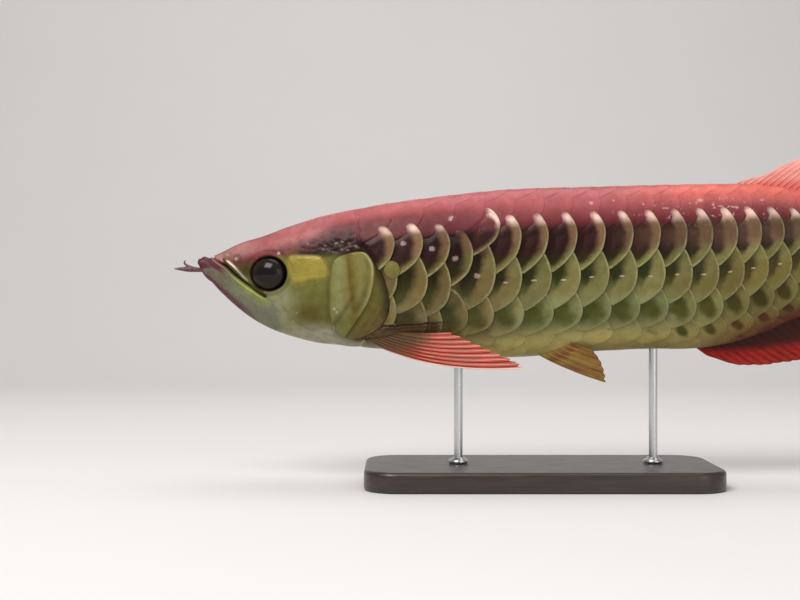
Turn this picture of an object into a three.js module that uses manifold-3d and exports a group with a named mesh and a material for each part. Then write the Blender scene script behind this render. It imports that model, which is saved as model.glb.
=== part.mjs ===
// An Asian arowana, life size, held in its swimming pose by a plain display stand.
// Millimetres, +Z up. The fish faces -X, so its left side is towards -Y.
// The origin is the centre of the stand's underside.
import * as THREE from "three";
import { mergeVertices } from "three/addons/utils/BufferGeometryUtils.js";
import Module from "manifold-3d";

const wasm = await Module();
wasm.setup();

// Driving dimensions
const STANDARD_LENGTH = 435; // tip of the lower jaw to the end of the tail stalk
const PERCENT = STANDARD_LENGTH / 100;
const AXIS_HEIGHT = 127; // the body's axis above the floor
const JAW_TIP_X = -204; // where the tip of the lower jaw stands along X
const GAP = 0.35; // between neighbouring pieces
const TAIL_SWING = 11; // how far the end of the tail stalk bends to the right side
const SWING_STARTS = 200; // station behind the jaw tip where that bend begins

// The body's outlines. A station is a distance behind the tip of the lower jaw.
// Stations, heights above the axis and half widths are all in percent of the standard length.
const BACK_LINE = [
  [0, 1.9], [1.6, 2.05], [5.7, 3.95], [8.7, 4.85], [11.5, 5.9], [14, 6.75], [17.2, 7.7], [23, 8.85],
  [34.5, 10.4], [42.5, 11.2], [53, 11.55], [74.7, 12.05], [80.5, 11.6], [87.4, 10.35],
  [94.3, 8.8], [100, 7.4], [103, 6.8],
];
const BELLY_LINE = [
  [0, 1.0], [0.5, -0.1], [1.5, -1.25], [2.9, -2.8], [5.6, -5.25], [8.4, -7.15], [12, -8.7],
  [17.2, -9.9], [22, -10.35], [34.5, -11.3], [42.5, -11.75], [54.6, -10.9], [61.6, -10.55],
  [67.8, -10.5], [73.1, -9.75], [78, -8.25], [82.8, -6.2], [89.7, -3.7], [95.2, -1.95], [100, -0.85],
  [103, -0.4],
];
const HALF_WIDTH = [
  [0, 0.75], [1.6, 1.3], [3.7, 2.0], [6.2, 2.75], [9.4, 3.7], [12.6, 4.4], [17.2, 5.15],
  [23, 5.6], [36.8, 6.0], [50.6, 6.0], [64.4, 5.45], [73.6, 4.6], [80.5, 3.7], [87.4, 2.7],
  [94.3, 1.85], [100, 1.1], [103, 0.45],
];
const FLATNESS = [[0, 0.85], [8, 0.74], [25, 0.78], [60, 0.8], [100, 0.9]]; // 1 is a plain oval
const KEEL = [[0, 0.2], [9, 0.42], [22, 0.42], [36, 0.28], [70, 0.22], [100, 0]]; // belly drawn in

// Scales. Columns count towards the tail, and rows from 0 on the back to 7 on the belly.
const ROW_ANGLES = [0, 37, 65.5, 91.5, 115, 138, 160, 180]; // degrees round from the back
const LAST_ROW = ROW_ANGLES.length - 1;
const FIRST_COLUMN = -1;
const LAST_COLUMN = 24;
const SCALES_FROM = 113.9; // station of column 0 on the back
const FIRST_SPACING = 19.05; // between the scales of a row there
const LAST_SPACING = 10.9; // the same at the end of the tail stalk
// How far each row stands behind the one above, by the station on the back
const ROW_LEAN = [[80, 1.6], [230, 1.8], [350, 4.6], [450, 4.6]];
const SCALE_EDGE = 1.1; // height of a scale's free edge
// Corners of a scale's free edge about its hindmost point, in columns and rows, with their share
// of the edge's height. The edge comes out from under the hip of the scale above and ends under
// the heel of the scale below and ahead.
const HEEL = { column: 0, row: -0.1, height: 1 };
const HIP = { column: -0.24, row: 0.44, height: 0.9 };
const SHOULDER = { column: -0.08, row: -0.34, height: 0.8 };
const CROWN = { column: -0.55, row: 0.1, height: 0.6 };

// Where the body is parted
const FRONT_SPLIT = 205;
const REAR_SPLIT = 330;
const TAIL_END = 446;
const BODY_SIDE = 80; // further out than any part of the body

// Eyes
const EYE_STATION = 42.8;
const EYE_HEIGHT = -1.3;
const EYE_RADIUS = 10.5;
const EYE_DEPTH = 7.2; // half depth of the flattened eyeball
const EYE_OUT = 13.0; // its centre's distance from the middle plane
const EYE_TURN = 0.27; // radians that it looks forward
const RIM_RADIUS = 11; // to the middle of the bony rim round the eye
const RIM_WIDTH = 0.8; // half thickness of that rim
const RIM_OUT = 3; // how far the rim lies outside the eyeball's centre

// Head plates and gill covers
const PLATE_PROUD = 0.55; // jaw and cheek plates above the skin
const COVER_PROUD = 1.2; // the gill cover's outer face above the skin
const COVER_SUNK = 1.7; // its inner face below the skin

// Fins
const FIN_ROOT = 3; // how deep the rays of a middle fin start in the body
const WEB_HALF = 0.27; // half thickness of the membrane
const TIP_HALF = 0.28; // half thickness of a ray at its tip

// Stand
const BASE_LENGTH = 210;
const BASE_WIDTH = 92;
const BASE_THICKNESS = 12;
const BASE_CORNER = 20;
const BASE_EDGE = 1.5;
const ROD_RADIUS = 2.6;
const ROD_REACH = 12; // how far a rod is drawn into the body before it is cut clear of it
const ROD_STATIONS = { stand_rod_front: 155, stand_rod_rear: 272 };

// A smooth curve through a short list of [where, value] pairs.
function curveThrough(pairs) {
  const slope = pairs.map((_, i) => {
    const a = pairs[Math.max(i - 1, 0)];
    const b = pairs[Math.min(i + 1, pairs.length - 1)];
    return (b[1] - a[1]) / (b[0] - a[0]);
  });
  return (x) => {
    let i = pairs.findIndex((p) => p[0] > x) - 1;
    if (i < 0) i = x <= pairs[0][0] ? 0 : pairs.length - 2;
    const [x0, y0] = pairs[i];
    const [x1, y1] = pairs[i + 1];
    const span = x1 - x0;
    const t = Math.min(Math.max((x - x0) / span, 0), 1);
    const rise = t * t * (3 - 2 * t);
    const bend = t * (1 - t) * (slope[i] * (1 - t) - slope[i + 1] * t) * span;
    return y0 + (y1 - y0) * rise + bend;
  };
}

const backAt = curveThrough(BACK_LINE);
const bellyAt = curveThrough(BELLY_LINE);
const widthAt = curveThrough(HALF_WIDTH);
const flatnessAt = curveThrough(FLATNESS);
const keelAt = curveThrough(KEEL);

function section(station) {
  const share = station / PERCENT;
  const top = backAt(share) * PERCENT;
  const bottom = bellyAt(share) * PERCENT;
  return {
    middle: (top + bottom) / 2,
    half: (top - bottom) / 2,
    width: widthAt(share) * PERCENT,
    flatness: flatnessAt(share),
    keel: keelAt(share),
  };
}

// A point of the smooth skin in the straight body: x is the station, y the side, z the height
// above the axis. The angle turns from 0 at the back down the left side to PI at the belly.
function skin(station, angle) {
  const { middle, half, width, flatness, keel } = section(station);
  const low = Math.max(0, -Math.cos(angle));
  const out = width * Math.abs(Math.sin(angle)) ** flatness * (1 - keel * low * low);
  return new THREE.Vector3(
    station,
    -Math.sign(Math.sin(angle)) * out,
    middle + half * Math.cos(angle),
  );
}

// The same point moved out along the skin's own normal.
function lifted(station, angle, lift) {
  const step = 0.02;
  const point = skin(station, angle);
  if (lift === 0) return point;
  const along = skin(station + 1, angle).sub(skin(station - 1, angle));
  const round = skin(station, angle + step).sub(skin(station, angle - step));
  const normal = new THREE.Vector3().crossVectors(along, round).normalize();
  const outward = new THREE.Vector3(0, point.y, point.z - section(station).middle);
  if (normal.dot(outward) < 0) normal.negate();
  return point.addScaledVector(normal, lift);
}

// The angle at which the left side's skin has a given height.
function angleAt(station, height) {
  const { middle, half } = section(station);
  return Math.acos(THREE.MathUtils.clamp((height - middle) / half, -1, 1));
}

// From the straight body to where the fish swims.
function swim(point) {
  const past = Math.max(0, point.x - SWING_STARTS) / (STANDARD_LENGTH - SWING_STARTS);
  return new THREE.Vector3(
    JAW_TIP_X + point.x,
    point.y + TAIL_SWING * past * past,
    AXIS_HEIGHT + point.z,
  );
}

// A closed solid from points and triangles, turned inside out where they face inwards.
function solidFrom(points, triangles) {
  const vertProperties = new Float32Array(points.length * 3);
  points.forEach((p, i) => vertProperties.set([p.x, p.y, p.z], i * 3));
  const made = (list) => {
    const triVerts = new Uint32Array(list.flat());
    return new wasm.Manifold(new wasm.Mesh({ numProp: 3, vertProperties, triVerts }));
  };
  const solid = made(triangles);
  return solid.volume() > 0 ? solid : made(triangles.map(([a, b, c]) => [a, c, b]));
}

function solidOf(geometry) {
  const bare = geometry.clone();
  bare.deleteAttribute("normal");
  bare.deleteAttribute("uv");
  const merged = mergeVertices(bare, 1e-4);
  const at = merged.attributes.position;
  const points = Array.from({ length: at.count }, (_, i) => new THREE.Vector3().fromBufferAttribute(at, i));
  const triangles = [];
  for (let i = 0; i < merged.index.count; i += 3) {
    const [a, b, c] = [0, 1, 2].map((k) => merged.index.getX(i + k));
    if (a !== b && b !== c && c !== a) triangles.push([a, b, c]);
  }
  return solidFrom(points, triangles);
}

function joined(pieces) {
  return pieces.reduce((whole, piece) => whole.add(piece));
}

// The largest closed surface of a solid, without loose scraps.
function largest(solid) {
  return solid.decompose().reduce((best, piece) => (piece.volume() > best.volume() ? piece : best));
}

function geometryOf(solid) {
  const mesh = largest(solid).getMesh();
  const points = new Float32Array(mesh.numVert * 3);
  for (let i = 0; i < mesh.numVert; i++) {
    points.set(mesh.vertProperties.subarray(i * mesh.numProp, i * mesh.numProp + 3), i * 3);
  }
  const geometry = new THREE.BufferGeometry();
  geometry.setAttribute("position", new THREE.BufferAttribute(points, 3));
  geometry.setIndex(new THREE.BufferAttribute(mesh.triVerts, 1));
  geometry.computeVertexNormals();
  return geometry;
}

// A closed solid through rings of points, with a fan over each end.
function loft(rings) {
  const count = rings[0].length;
  const points = rings.flat();
  const triangles = [];
  for (let r = 0; r + 1 < rings.length; r++) {
    for (let k = 0; k < count; k++) {
      const next = (k + 1) % count;
      const [a, b] = [r * count + k, r * count + next];
      triangles.push([a, b, b + count], [a, b + count, a + count]);
    }
  }
  [0, rings.length - 1].forEach((r) => {
    const centre = rings[r].reduce((sum, p) => sum.add(p), new THREE.Vector3()).divideScalar(count);
    const hub = points.push(centre) - 1;
    for (let k = 0; k < count; k++) {
      const [a, b] = [r * count + k, r * count + ((k + 1) % count)];
      triangles.push(r === 0 ? [hub, b, a] : [hub, a, b]);
    }
  });
  return solidFrom(points, triangles);
}

// A straight slab through the body with an outline of [station, height] pairs.
// side is -1 for the left half, 1 for the right half and 0 for both.
function slab(outline, side = 0) {
  const shape = new THREE.Shape(outline.map(([x, y]) => new THREE.Vector2(x, y)));
  const depth = side === 0 ? 2 * BODY_SIDE : BODY_SIDE;
  const geometry = new THREE.ExtrudeGeometry(shape, { depth, bevelEnabled: false });
  geometry.rotateX(Math.PI / 2);
  geometry.translate(JAW_TIP_X, side < 0 ? 0 : BODY_SIDE, AXIS_HEIGHT);
  return solidOf(geometry);
}

// A closed outline drawn smoothly through a few corners.
function smooth(corners, count) {
  const shape = new THREE.CatmullRomCurve3(
    corners.map(([x, y]) => new THREE.Vector3(x, y, 0)),
    true,
    "centripetal",
  );
  return shape.getPoints(count).slice(0, count).map((p) => [p.x, p.y]);
}

// A closed outline moved outwards by a distance.
function grown(outline, by) {
  const area = outline.reduce((sum, [x, y], i) => {
    const [nx, ny] = outline[(i + 1) % outline.length];
    return sum + x * ny - nx * y;
  }, 0);
  return outline.map(([x, y], i) => {
    const [px, py] = outline[(i + outline.length - 1) % outline.length];
    const [nx, ny] = outline[(i + 1) % outline.length];
    const along = new THREE.Vector2(nx - px, ny - py).normalize();
    const turn = Math.sign(area);
    return [x + along.y * by * turn, y - along.x * by * turn];
  });
}

// Scales of the trunk
const rowAngle = curveThrough(ROW_ANGLES.map((degrees, row) => [row, THREE.MathUtils.degToRad(degrees)]));
const rowLean = curveThrough(ROW_LEAN);

// A point of the trunk by column and row, on the left side (-1) or the right (1).
function scalePoint(column, row, side, height) {
  const shrink = (FIRST_SPACING - LAST_SPACING) / (STANDARD_LENGTH - SCALES_FROM);
  const onBack = SCALES_FROM + (FIRST_SPACING / shrink) * (1 - Math.exp(-shrink * column));
  const station = onBack + row * rowLean(onBack);
  return swim(lifted(station, -side * rowAngle(row), height));
}

// The scaled trunk as one closed surface. Each scale is a fan of triangles from its crown to its
// free edge and to the feet of the scales that it comes out from under.
function scaledTrunk(lift) {
  const points = [];
  const triangles = [];
  const known = new Map();
  const corner = (kind, column, row, side, high) => {
    const key = [kind.column, kind.row, column, row, row === 0 && kind === HEEL ? 0 : side, high].join();
    if (!known.has(key)) {
      const at = row === 0 && kind === HEEL ? 0 : row + kind.row;
      const height = lift + (high ? SCALE_EDGE * kind.height : 0);
      known.set(key, points.push(scalePoint(column + kind.column, at, side, height)) - 1);
    }
    return known.get(key);
  };
  const foot = (kind, column, row, side) => corner(kind, column, row, side, false);
  const pair = (...where) => [corner(...where, true), foot(...where)];
  const both = (index) => [index, index];
  // The free edge of a scale as pairs of lip and foot, downwards on the left and up on the right.
  const freeEdge = (i, j, side) => {
    if (j === 0) {
      const half = (s) => [pair(HIP, i, 0, s), both(foot(HEEL, i - 1, 1, s))];
      return [...half(1).reverse(), pair(HEEL, i, 0, -1), ...half(-1)];
    }
    const top = (s) => [both(foot(HIP, i, j - 1, s)), pair(SHOULDER, i, j, s), pair(HEEL, i, j, s)];
    if (j === LAST_ROW) return [...top(-1), ...top(1).reverse()];
    const edge = [...top(side), pair(HIP, i, j, side), both(foot(HEEL, i - 1, j + 1, side))];
    return side < 0 ? edge : edge.reverse();
  };
  // The feet that bound the scale ahead, in the other direction.
  const frontEdge = (i, j, side) => {
    if (j === 0) {
      const half = (s) => [foot(SHOULDER, i - 1, 1, s), foot(HIP, i - 1, 0, s)];
      return [...half(-1), foot(HEEL, i - 1, 0, -1), ...half(1).reverse()];
    }
    if (j === LAST_ROW) return [foot(HEEL, i - 1, j, 1), foot(HEEL, i - 1, j, -1)];
    const feet = [foot(SHOULDER, i - 1, j + 1, side), foot(HIP, i - 1, j, side), foot(HEEL, i - 1, j, side)];
    return side < 0 ? feet : feet.reverse();
  };
  for (let i = FIRST_COLUMN; i <= LAST_COLUMN; i++) {
    for (let j = 0; j <= LAST_ROW; j++) {
      for (const side of j % LAST_ROW ? [-1, 1] : [-1]) {
        const edge = freeEdge(i, j, side);
        const rim = [...edge.map(([lip]) => lip), ...frontEdge(i, j, side)];
        const middle = j % LAST_ROW ? j + CROWN.row : j;
        const crownAt = scalePoint(i + CROWN.column, middle, side, lift + SCALE_EDGE * CROWN.height);
        const crown = points.push(crownAt) - 1;
        rim.forEach((a, k) => triangles.push([crown, a, rim[(k + 1) % rim.length]]));
        for (let k = 0; k + 1 < edge.length; k++) {
          const [[lipA, footA], [lipB, footB]] = [edge[k], edge[k + 1]];
          const ends = lipA === footA || lipB === footB;
          const hidden = ends && [lipA, lipB].includes(foot(HEEL, i - 1, j + 1, side));
          if (i === LAST_COLUMN && !(j < LAST_ROW && (j === 0 ? ends : hidden))) continue;
          if (footA !== lipA) triangles.push([lipB, lipA, footA]);
          if (footB !== lipB) triangles.push([lipB, footA, footB]);
        }
      }
    }
  }
  const front = [foot(HEEL, FIRST_COLUMN - 1, 0, -1)];
  const rear = [corner(HEEL, LAST_COLUMN, 0, -1, true)];
  for (const side of [-1, 1]) {
    const [frontHalf, rearHalf] = [[], []];
    for (let j = 0; j < LAST_ROW; j++) {
      const column = FIRST_COLUMN - 1;
      frontHalf.push(foot(HIP, column, j, side));
      frontHalf.push(foot(SHOULDER, column, j + 1, side), foot(HEEL, column, j + 1, side));
      rearHalf.push(...pair(HIP, LAST_COLUMN, j, side));
      rearHalf.push(...[SHOULDER, HEEL].map((kind) => corner(kind, LAST_COLUMN, j + 1, side, true)));
    }
    front.push(...(side < 0 ? frontHalf : frontHalf.reverse()));
    rear.push(...(side < 0 ? rearHalf : rearHalf.reverse()));
  }
  for (const [loop, turn] of [[front, false], [rear, true]]) {
    const centre = loop.reduce((sum, a) => sum.add(points[a]), new THREE.Vector3()).divideScalar(loop.length);
    const hub = points.push(centre) - 1;
    loop.forEach((a, k) => {
      const b = loop[(k + 1) % loop.length];
      triangles.push(turn ? [hub, b, a] : [hub, a, b]);
    });
  }
  return solidFrom(points, triangles);
}

// Head

const HEAD_STATIONS = [0, 1.6, 4, 7, 11, 16, 22, 28, 34, 41, 48, 56, 65, 74, 83, 92, 101, 110, 120];
const HEAD_SIDES = 24;

function headLoft(lift) {
  return loft(
    HEAD_STATIONS.map((station) =>
      Array.from({ length: HEAD_SIDES }, (_, k) =>
        swim(lifted(station, ((k + 0.5) * 2 * Math.PI) / HEAD_SIDES, lift)),
      ),
    ),
  );
}

// The line of the closed mouth from its front to its corner, and the hind edge of the jaw.
const MOUTH_LINE = [[6.8, 9.5], [9.2, 5.4], [16.5, 0.8], [26.3, -7.2], [33.5, -12.6], [40.5, -17.4]];
const JAW_HIND_EDGE = [[45.5, -25], [49.5, -35], [51, -60]];
const JAW_OUTLINE = [[-20, 25], [5.6, 25], ...MOUTH_LINE, ...JAW_HIND_EDGE, [-20, -60]];
const MOUTH_OPEN = [0.62, 0.42]; // how far the head's side of the cut is moved back and up

// Hind edge of the gill cover, from its top to the throat, and the head's edge above and below it.
const COVER_HIND_EDGE = [
  [99, 11], [105.5, 4.6], [110.8, -4.3], [114, -15], [113.6, -24.5], [110, -32], [103.5, -37],
];
const COVER_FRONT_EDGE = [
  [94.5, -40.3], [86, -39.2], [80.5, -33.5], [78.8, -20], [78.6, -6], [81, 5.5], [89, 10.2],
];
const COVER_OUTLINE = smooth([...COVER_HIND_EDGE, ...COVER_FRONT_EDGE], 34);
const HEAD_HIND_EDGE = [
  [87, 70], [87, 40], [91, 28], [97, 15], ...COVER_HIND_EDGE, [97, -42], [93, -50], [92, -70],
];

// Everything ahead of the head's hind edge, or of that edge moved back by a distance.
function frontOfHeadEdge(shift) {
  const edge = HEAD_HIND_EDGE.map(([x, y]) => [x + shift, y]);
  return slab([[-40, 70], ...edge, [-40, -70]]);
}

// Outlines of the raised plates beside the mouth and behind the eye.
const UPPER_JAW_PLATE = [
  [11, 8.6], [18, 6.6], [27.5, -0.8], [35.5, -8.4], [43.4, -14.6],
  [41.6, -18.6], [33.8, -12.2], [26.4, -6.6], [16.6, 1.4],
];
const UPPER_CHEEK_PLATE = [
  [55.5, 8.6], [66, 8.8], [76.5, 7.4], [77.6, 1], [77.2, -5.6], [66, -5], [56, -6.5], [54.6, 1],
];
const LOWER_CHEEK_PLATE = [
  [50, -18], [57, -9.4], [66, -7], [77, -7.6], [77.4, -20], [76.6, -31], [70, -35], [60, -31],
];

function headPlate(corners, side) {
  return headLoft(PLATE_PROUD).intersect(slab(smooth(corners, 3 * corners.length), side));
}

// A flattened ball for the eye, or a little larger for its socket.
function eyeball(side, grow) {
  const ball = new THREE.SphereGeometry(1, 18, 10);
  ball.rotateX(Math.PI / 2);
  ball.scale(EYE_RADIUS + grow, EYE_DEPTH + grow, EYE_RADIUS + grow);
  return solidOf(placeOnEye(ball, side));
}

function placeOnEye(geometry, side) {
  geometry.rotateZ(side * EYE_TURN);
  geometry.translate(JAW_TIP_X + EYE_STATION, side * EYE_OUT, AXIS_HEIGHT + EYE_HEIGHT);
  return geometry;
}

// The bony rim round the eye, a ring sunk half into the head.
function eyeRim(side) {
  const ring = new THREE.TorusGeometry(RIM_RADIUS, RIM_WIDTH, 6, 24);
  ring.rotateX(Math.PI / 2);
  ring.translate(0, side * RIM_OUT, 0);
  return solidOf(placeOnEye(ring, side));
}

// The short tube of a front nostril, leaning out and forward on the snout.
const NOSTRIL = { station: 17.5, height: 9.2, sunk: 1, tip: 0.9, foot: 1.3, length: 3.6, out: 1, ahead: 0.5 };

function nostril(side) {
  const { station, height, sunk, tip, foot, length, out, ahead } = NOSTRIL;
  const root = lifted(station, angleAt(station, height), -sunk);
  const tube = new THREE.CylinderGeometry(tip, foot, length, 10);
  tube.rotateX(-side * out);
  tube.rotateY(-ahead);
  tube.translate(JAW_TIP_X + root.x, -side * root.y, AXIS_HEIGHT + root.z + 0.6);
  return solidOf(tube);
}

// A round rope of even sides along a smooth path, thinning from one end to the other.
function taperedRope(path, radii, steps, sides) {
  const frames = path.computeFrenetFrames(steps, false);
  const rings = Array.from({ length: steps + 1 }, (_, i) => {
    const t = i / steps;
    const centre = path.getPointAt(t);
    const radius = radii(t);
    return Array.from({ length: sides }, (_, k) => {
      const a = (k * 2 * Math.PI) / sides;
      return centre
        .clone()
        .addScaledVector(frames.normals[i], radius * Math.cos(a))
        .addScaledVector(frames.binormals[i], radius * Math.sin(a));
    });
  });
  return loft(rings);
}

// The lower lip, a ridge just under the mouth line from one corner round the chin to the other.
const LIP_SIDE = [[39.8, -18.2], [32.9, -13.8], [25.3, -8.2], [15.6, -0.4], [9.4, 3.6], [5, 6], [2.2, 6.6]];
const LIP_TIP = new THREE.Vector3(0.6, 0, 6.4);
const LIP_SUNK = 0.5;
const LIP_RADIUS = [0.9, 1.8]; // at the corners of the mouth and at the chin

function lowerLip() {
  const left = LIP_SIDE.map(([station, height]) => lifted(station, angleAt(station, height), -LIP_SUNK));
  const right = left.map((p) => new THREE.Vector3(p.x, -p.y, p.z)).reverse();
  const path = new THREE.CatmullRomCurve3([...left, LIP_TIP, ...right].map(swim));
  const [corner, chin] = LIP_RADIUS;
  return taperedRope(path, (t) => corner + (chin - corner) * Math.sin(Math.PI * t) ** 2, 30, 8);
}

function makeHead() {
  const raised = [-1, 1].flatMap((side) => [
    ...[UPPER_JAW_PLATE, UPPER_CHEEK_PLATE, LOWER_CHEEK_PLATE].map((corners) => headPlate(corners, side)),
    eyeRim(side),
    nostril(side),
  ]);
  const [back, up] = MOUTH_OPEN;
  const mouth = slab(JAW_OUTLINE.map(([x, y]) => [x + back, y + up]));
  const bed = headLoft(-COVER_SUNK - GAP);
  let head = joined([headLoft(0), ...raised]).intersect(frontOfHeadEdge(0)).subtract(mouth);
  for (const side of [-1, 1]) {
    head = head
      .subtract(slab(grown(COVER_OUTLINE, GAP), side).subtract(bed))
      .subtract(eyeball(side, GAP));
  }
  return head;
}

function makeLowerJaw() {
  return joined([headLoft(0), lowerLip()]).intersect(slab(JAW_OUTLINE));
}

function makeGillCover(side) {
  return headLoft(COVER_PROUD)
    .subtract(headLoft(-COVER_SUNK))
    .intersect(slab(COVER_OUTLINE, side))
    .intersect(frontOfHeadEdge(0));
}

// A feeler under the chin. The left one points ahead and the right one curls up.
const BARBELS = {
  barbel_left: [[3.5, -2.2, 0.5], [0, -3.4, 0.2], [-5, -4.2, 0.2], [-10, -4.4, 0.5], [-14.6, -4.6, 0.8]],
  barbel_right: [[3.5, 2.2, 0.5], [0, 3.4, 0.4], [-4, 4.6, 0.9], [-7.2, 5.2, 2.6], [-8.9, 5.4, 5.6]],
};

const BARBEL_RADIUS = [1.25, 0.5]; // at the root and at the tip

function makeBarbel(points, obstacle) {
  const path = new THREE.CatmullRomCurve3(points.map(([x, y, z]) => swim(new THREE.Vector3(x, y, z))));
  const [root, tip] = BARBEL_RADIUS;
  return taperedRope(path, (t) => root + (tip - root) * t * t, 12, 8).subtract(obstacle);
}

// Fins

// A thin blade over a row of rays. Each ray is a function from 0 at its root to 1 at its tip.
// The rays stand out of the membrane as ridges on both faces, and their tips notch its edge.
// rayHalf is half the thickness of a ray at its root, and notch is a share of its length.
function finBlade(rays, { steps, rayHalf, notch = 0.05 }) {
  const last = 2 * (rays.length - 1);
  const column = (k, t) => {
    if (k % 2 === 0) return rays[k / 2](t);
    const web = t * (1 - notch);
    return rays[(k - 1) / 2](web).add(rays[(k + 1) / 2](web)).multiplyScalar(0.5);
  };
  const middle = Array.from({ length: last + 1 }, (_, k) =>
    Array.from({ length: steps + 1 }, (_, m) => column(k, m / steps)),
  );
  const points = [];
  const faces = [1, -1].map((face) =>
    middle.map((line, k) =>
      line.map((p, m) => {
        const across = middle[Math.min(k + 1, last)][m].clone().sub(middle[Math.max(k - 1, 0)][m]);
        const along = line[Math.min(m + 1, steps)].clone().sub(line[Math.max(m - 1, 0)]);
        const normal = across.cross(along).normalize();
        const ridge = THREE.MathUtils.lerp(rayHalf, TIP_HALF, m / steps);
        const half = k % 2 === 0 ? ridge : WEB_HALF;
        return points.push(swim(p.clone().addScaledVector(normal, face * half))) - 1;
      }),
    ),
  );
  const triangles = [];
  const quad = (a, b, c, d) => triangles.push([a, b, c], [a, c, d]);
  for (let k = 0; k < last; k++) {
    for (let m = 0; m < steps; m++) {
      const [a, b, c, d] = [[k, m], [k + 1, m], [k + 1, m + 1], [k, m + 1]];
      const [f, g] = faces.map((grid) => [a, b, c, d].map(([x, y]) => grid[x][y]));
      triangles.push([f[0], f[1], f[2]], [f[0], f[2], f[3]]);
      triangles.push([g[0], g[2], g[1]], [g[0], g[3], g[2]]);
    }
    quad(faces[0][k][0], faces[1][k][0], faces[1][k + 1][0], faces[0][k + 1][0]);
    quad(faces[0][k + 1][steps], faces[1][k + 1][steps], faces[1][k][steps], faces[0][k][steps]);
  }
  for (let m = 0; m < steps; m++) {
    quad(faces[0][0][m + 1], faces[1][0][m + 1], faces[1][0][m], faces[0][0][m]);
    quad(faces[0][last][m], faces[1][last][m], faces[1][last][m + 1], faces[0][last][m + 1]);
  }
  return solidFrom(points, triangles);
}

// A ray bent smoothly from its root past a middle point to its tip.
function bentRay(root, past, tip) {
  const curve = new THREE.QuadraticBezierCurve3(root, past, tip);
  return (t) => curve.getPoint(t);
}

// The rays of a fin in the middle plane. Lengths and slopes come from curves over the base,
// and the sway is how far the free edge leans to one side, as a wave along the fin.
function medianRays({ count, from, to, lengthAt, slopeAt, edge, up, sway }) {
  return Array.from({ length: count }, (_, i) => {
    const share = i / (count - 1);
    const station = from + (to - from) * share;
    const length = lengthAt(share) + FIN_ROOT;
    const slope = slopeAt(share);
    const away = new THREE.Vector3(Math.cos(slope), 0, up * Math.sin(slope));
    const root = new THREE.Vector3(station, 0, edge(station)).addScaledVector(away, -FIN_ROOT);
    const lean = sway * Math.sin(1.2 * Math.PI * share + 0.6) * (length / 40);
    const past = root.clone().addScaledVector(away, 0.5 * length);
    past.z += up * 0.05 * length;
    const tip = root.clone().addScaledVector(away, length);
    tip.y += lean;
    return bentRay(root, past, tip);
  });
}

const backEdge = (station) => skin(station, 0).z;
const bellyEdge = (station) => skin(station, Math.PI).z;

function makeDorsalFin() {
  const rays = medianRays({
    count: 16,
    from: 331,
    to: 398,
    lengthAt: curveThrough([[0, 12], [0.07, 25], [0.16, 35], [0.35, 45], [0.65, 45], [1, 36]]),
    slopeAt: curveThrough([[0, 0.6], [0.4, 0.62], [1, 0.4]]),
    edge: backEdge,
    up: 1,
    sway: 4,
  });
  return finBlade(rays, { steps: 5, rayHalf: 0.75 });
}

function makeAnalFin() {
  const rays = medianRays({
    count: 22,
    from: 298,
    to: 416,
    lengthAt: curveThrough([[0, 9], [0.06, 19], [0.16, 25], [0.3, 30], [0.5, 38], [0.75, 39], [1, 29]]),
    slopeAt: curveThrough([[0, 0.62], [0.3, 0.56], [0.6, 0.62], [1, 0.42]]),
    edge: bellyEdge,
    up: -1,
    sway: 5,
  });
  return finBlade(rays, { steps: 5, rayHalf: 0.75 });
}

// The tail fin is a rounded fan: its longest rays are in the middle.
const TAIL_RAYS = 15;
const TAIL_LENGTH = 62;
const TAIL_SHORTER = 15; // how much less the outer rays measure
const TAIL_SPREAD = 0.62; // slope of the outer rays, in radians
const TAIL_LEAN = 1.5; // how far the tips go on to the right side

function makeTailFin() {
  const root = TAIL_END - 4;
  const { middle, half } = section(TAIL_END);
  const rays = Array.from({ length: TAIL_RAYS }, (_, i) => {
    const share = (2 * i) / (TAIL_RAYS - 1) - 1; // 1 at the top, -1 at the bottom
    const spread = TAIL_SPREAD * share;
    const length = TAIL_LENGTH - TAIL_SHORTER * Math.abs(share) ** 2.6;
    const rise = length * Math.sin(spread);
    const start = new THREE.Vector3(root, 0, middle + 0.9 * half * share);
    const past = start.clone().add(new THREE.Vector3(0.45 * length, 0, 0.62 * rise));
    const tip = start.clone().add(new THREE.Vector3(length * Math.cos(spread), TAIL_LEAN, rise));
    return bentRay(start, past, tip);
  });
  return finBlade(rays, { steps: 6, rayHalf: 1.0, notch: 0.03 });
}

// A paired fin between its leading ray and its hindmost ray, each given by [station, side, height]
// of root, middle and tip on the left side. bow bends the tips' line outwards.
function pairedRays(side, count, lead, hind, bow) {
  const at = ([x, y, z]) => new THREE.Vector3(x, side * y, z);
  return Array.from({ length: count }, (_, i) => {
    const share = i / (count - 1);
    const [root, past, tip] = [0, 1, 2].map((k) => at(lead[k]).lerp(at(hind[k]), share));
    tip.x += bow * Math.sin(Math.PI * share);
    return bentRay(root, past, tip);
  });
}

const PECTORAL_LEAD = [[97, 8, -39.5], [136, 25, -61.5], [193.5, 36, -56]];
const PECTORAL_HIND = [[108, 8, -34], [128, 20, -37.5], [149, 21.5, -36]];
const PELVIC_LEAD = [[197, 4.5, -46], [216, 9.5, -58], [241, 16.5, -65.5]];
const PELVIC_HIND = [[216, 9, -40], [226, 16, -44.5], [233, 18.5, -46]];

function makePectoralFin(side) {
  const rays = pairedRays(side, 8, PECTORAL_LEAD, PECTORAL_HIND, 7);
  return finBlade(rays, { steps: 8, rayHalf: 1.1, notch: 0.035 });
}

function makePelvicFin(side) {
  const rays = pairedRays(side, 6, PELVIC_LEAD, PELVIC_HIND, 2);
  return finBlade(rays, { steps: 5, rayHalf: 0.85, notch: 0.04 });
}

// Stand

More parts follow.
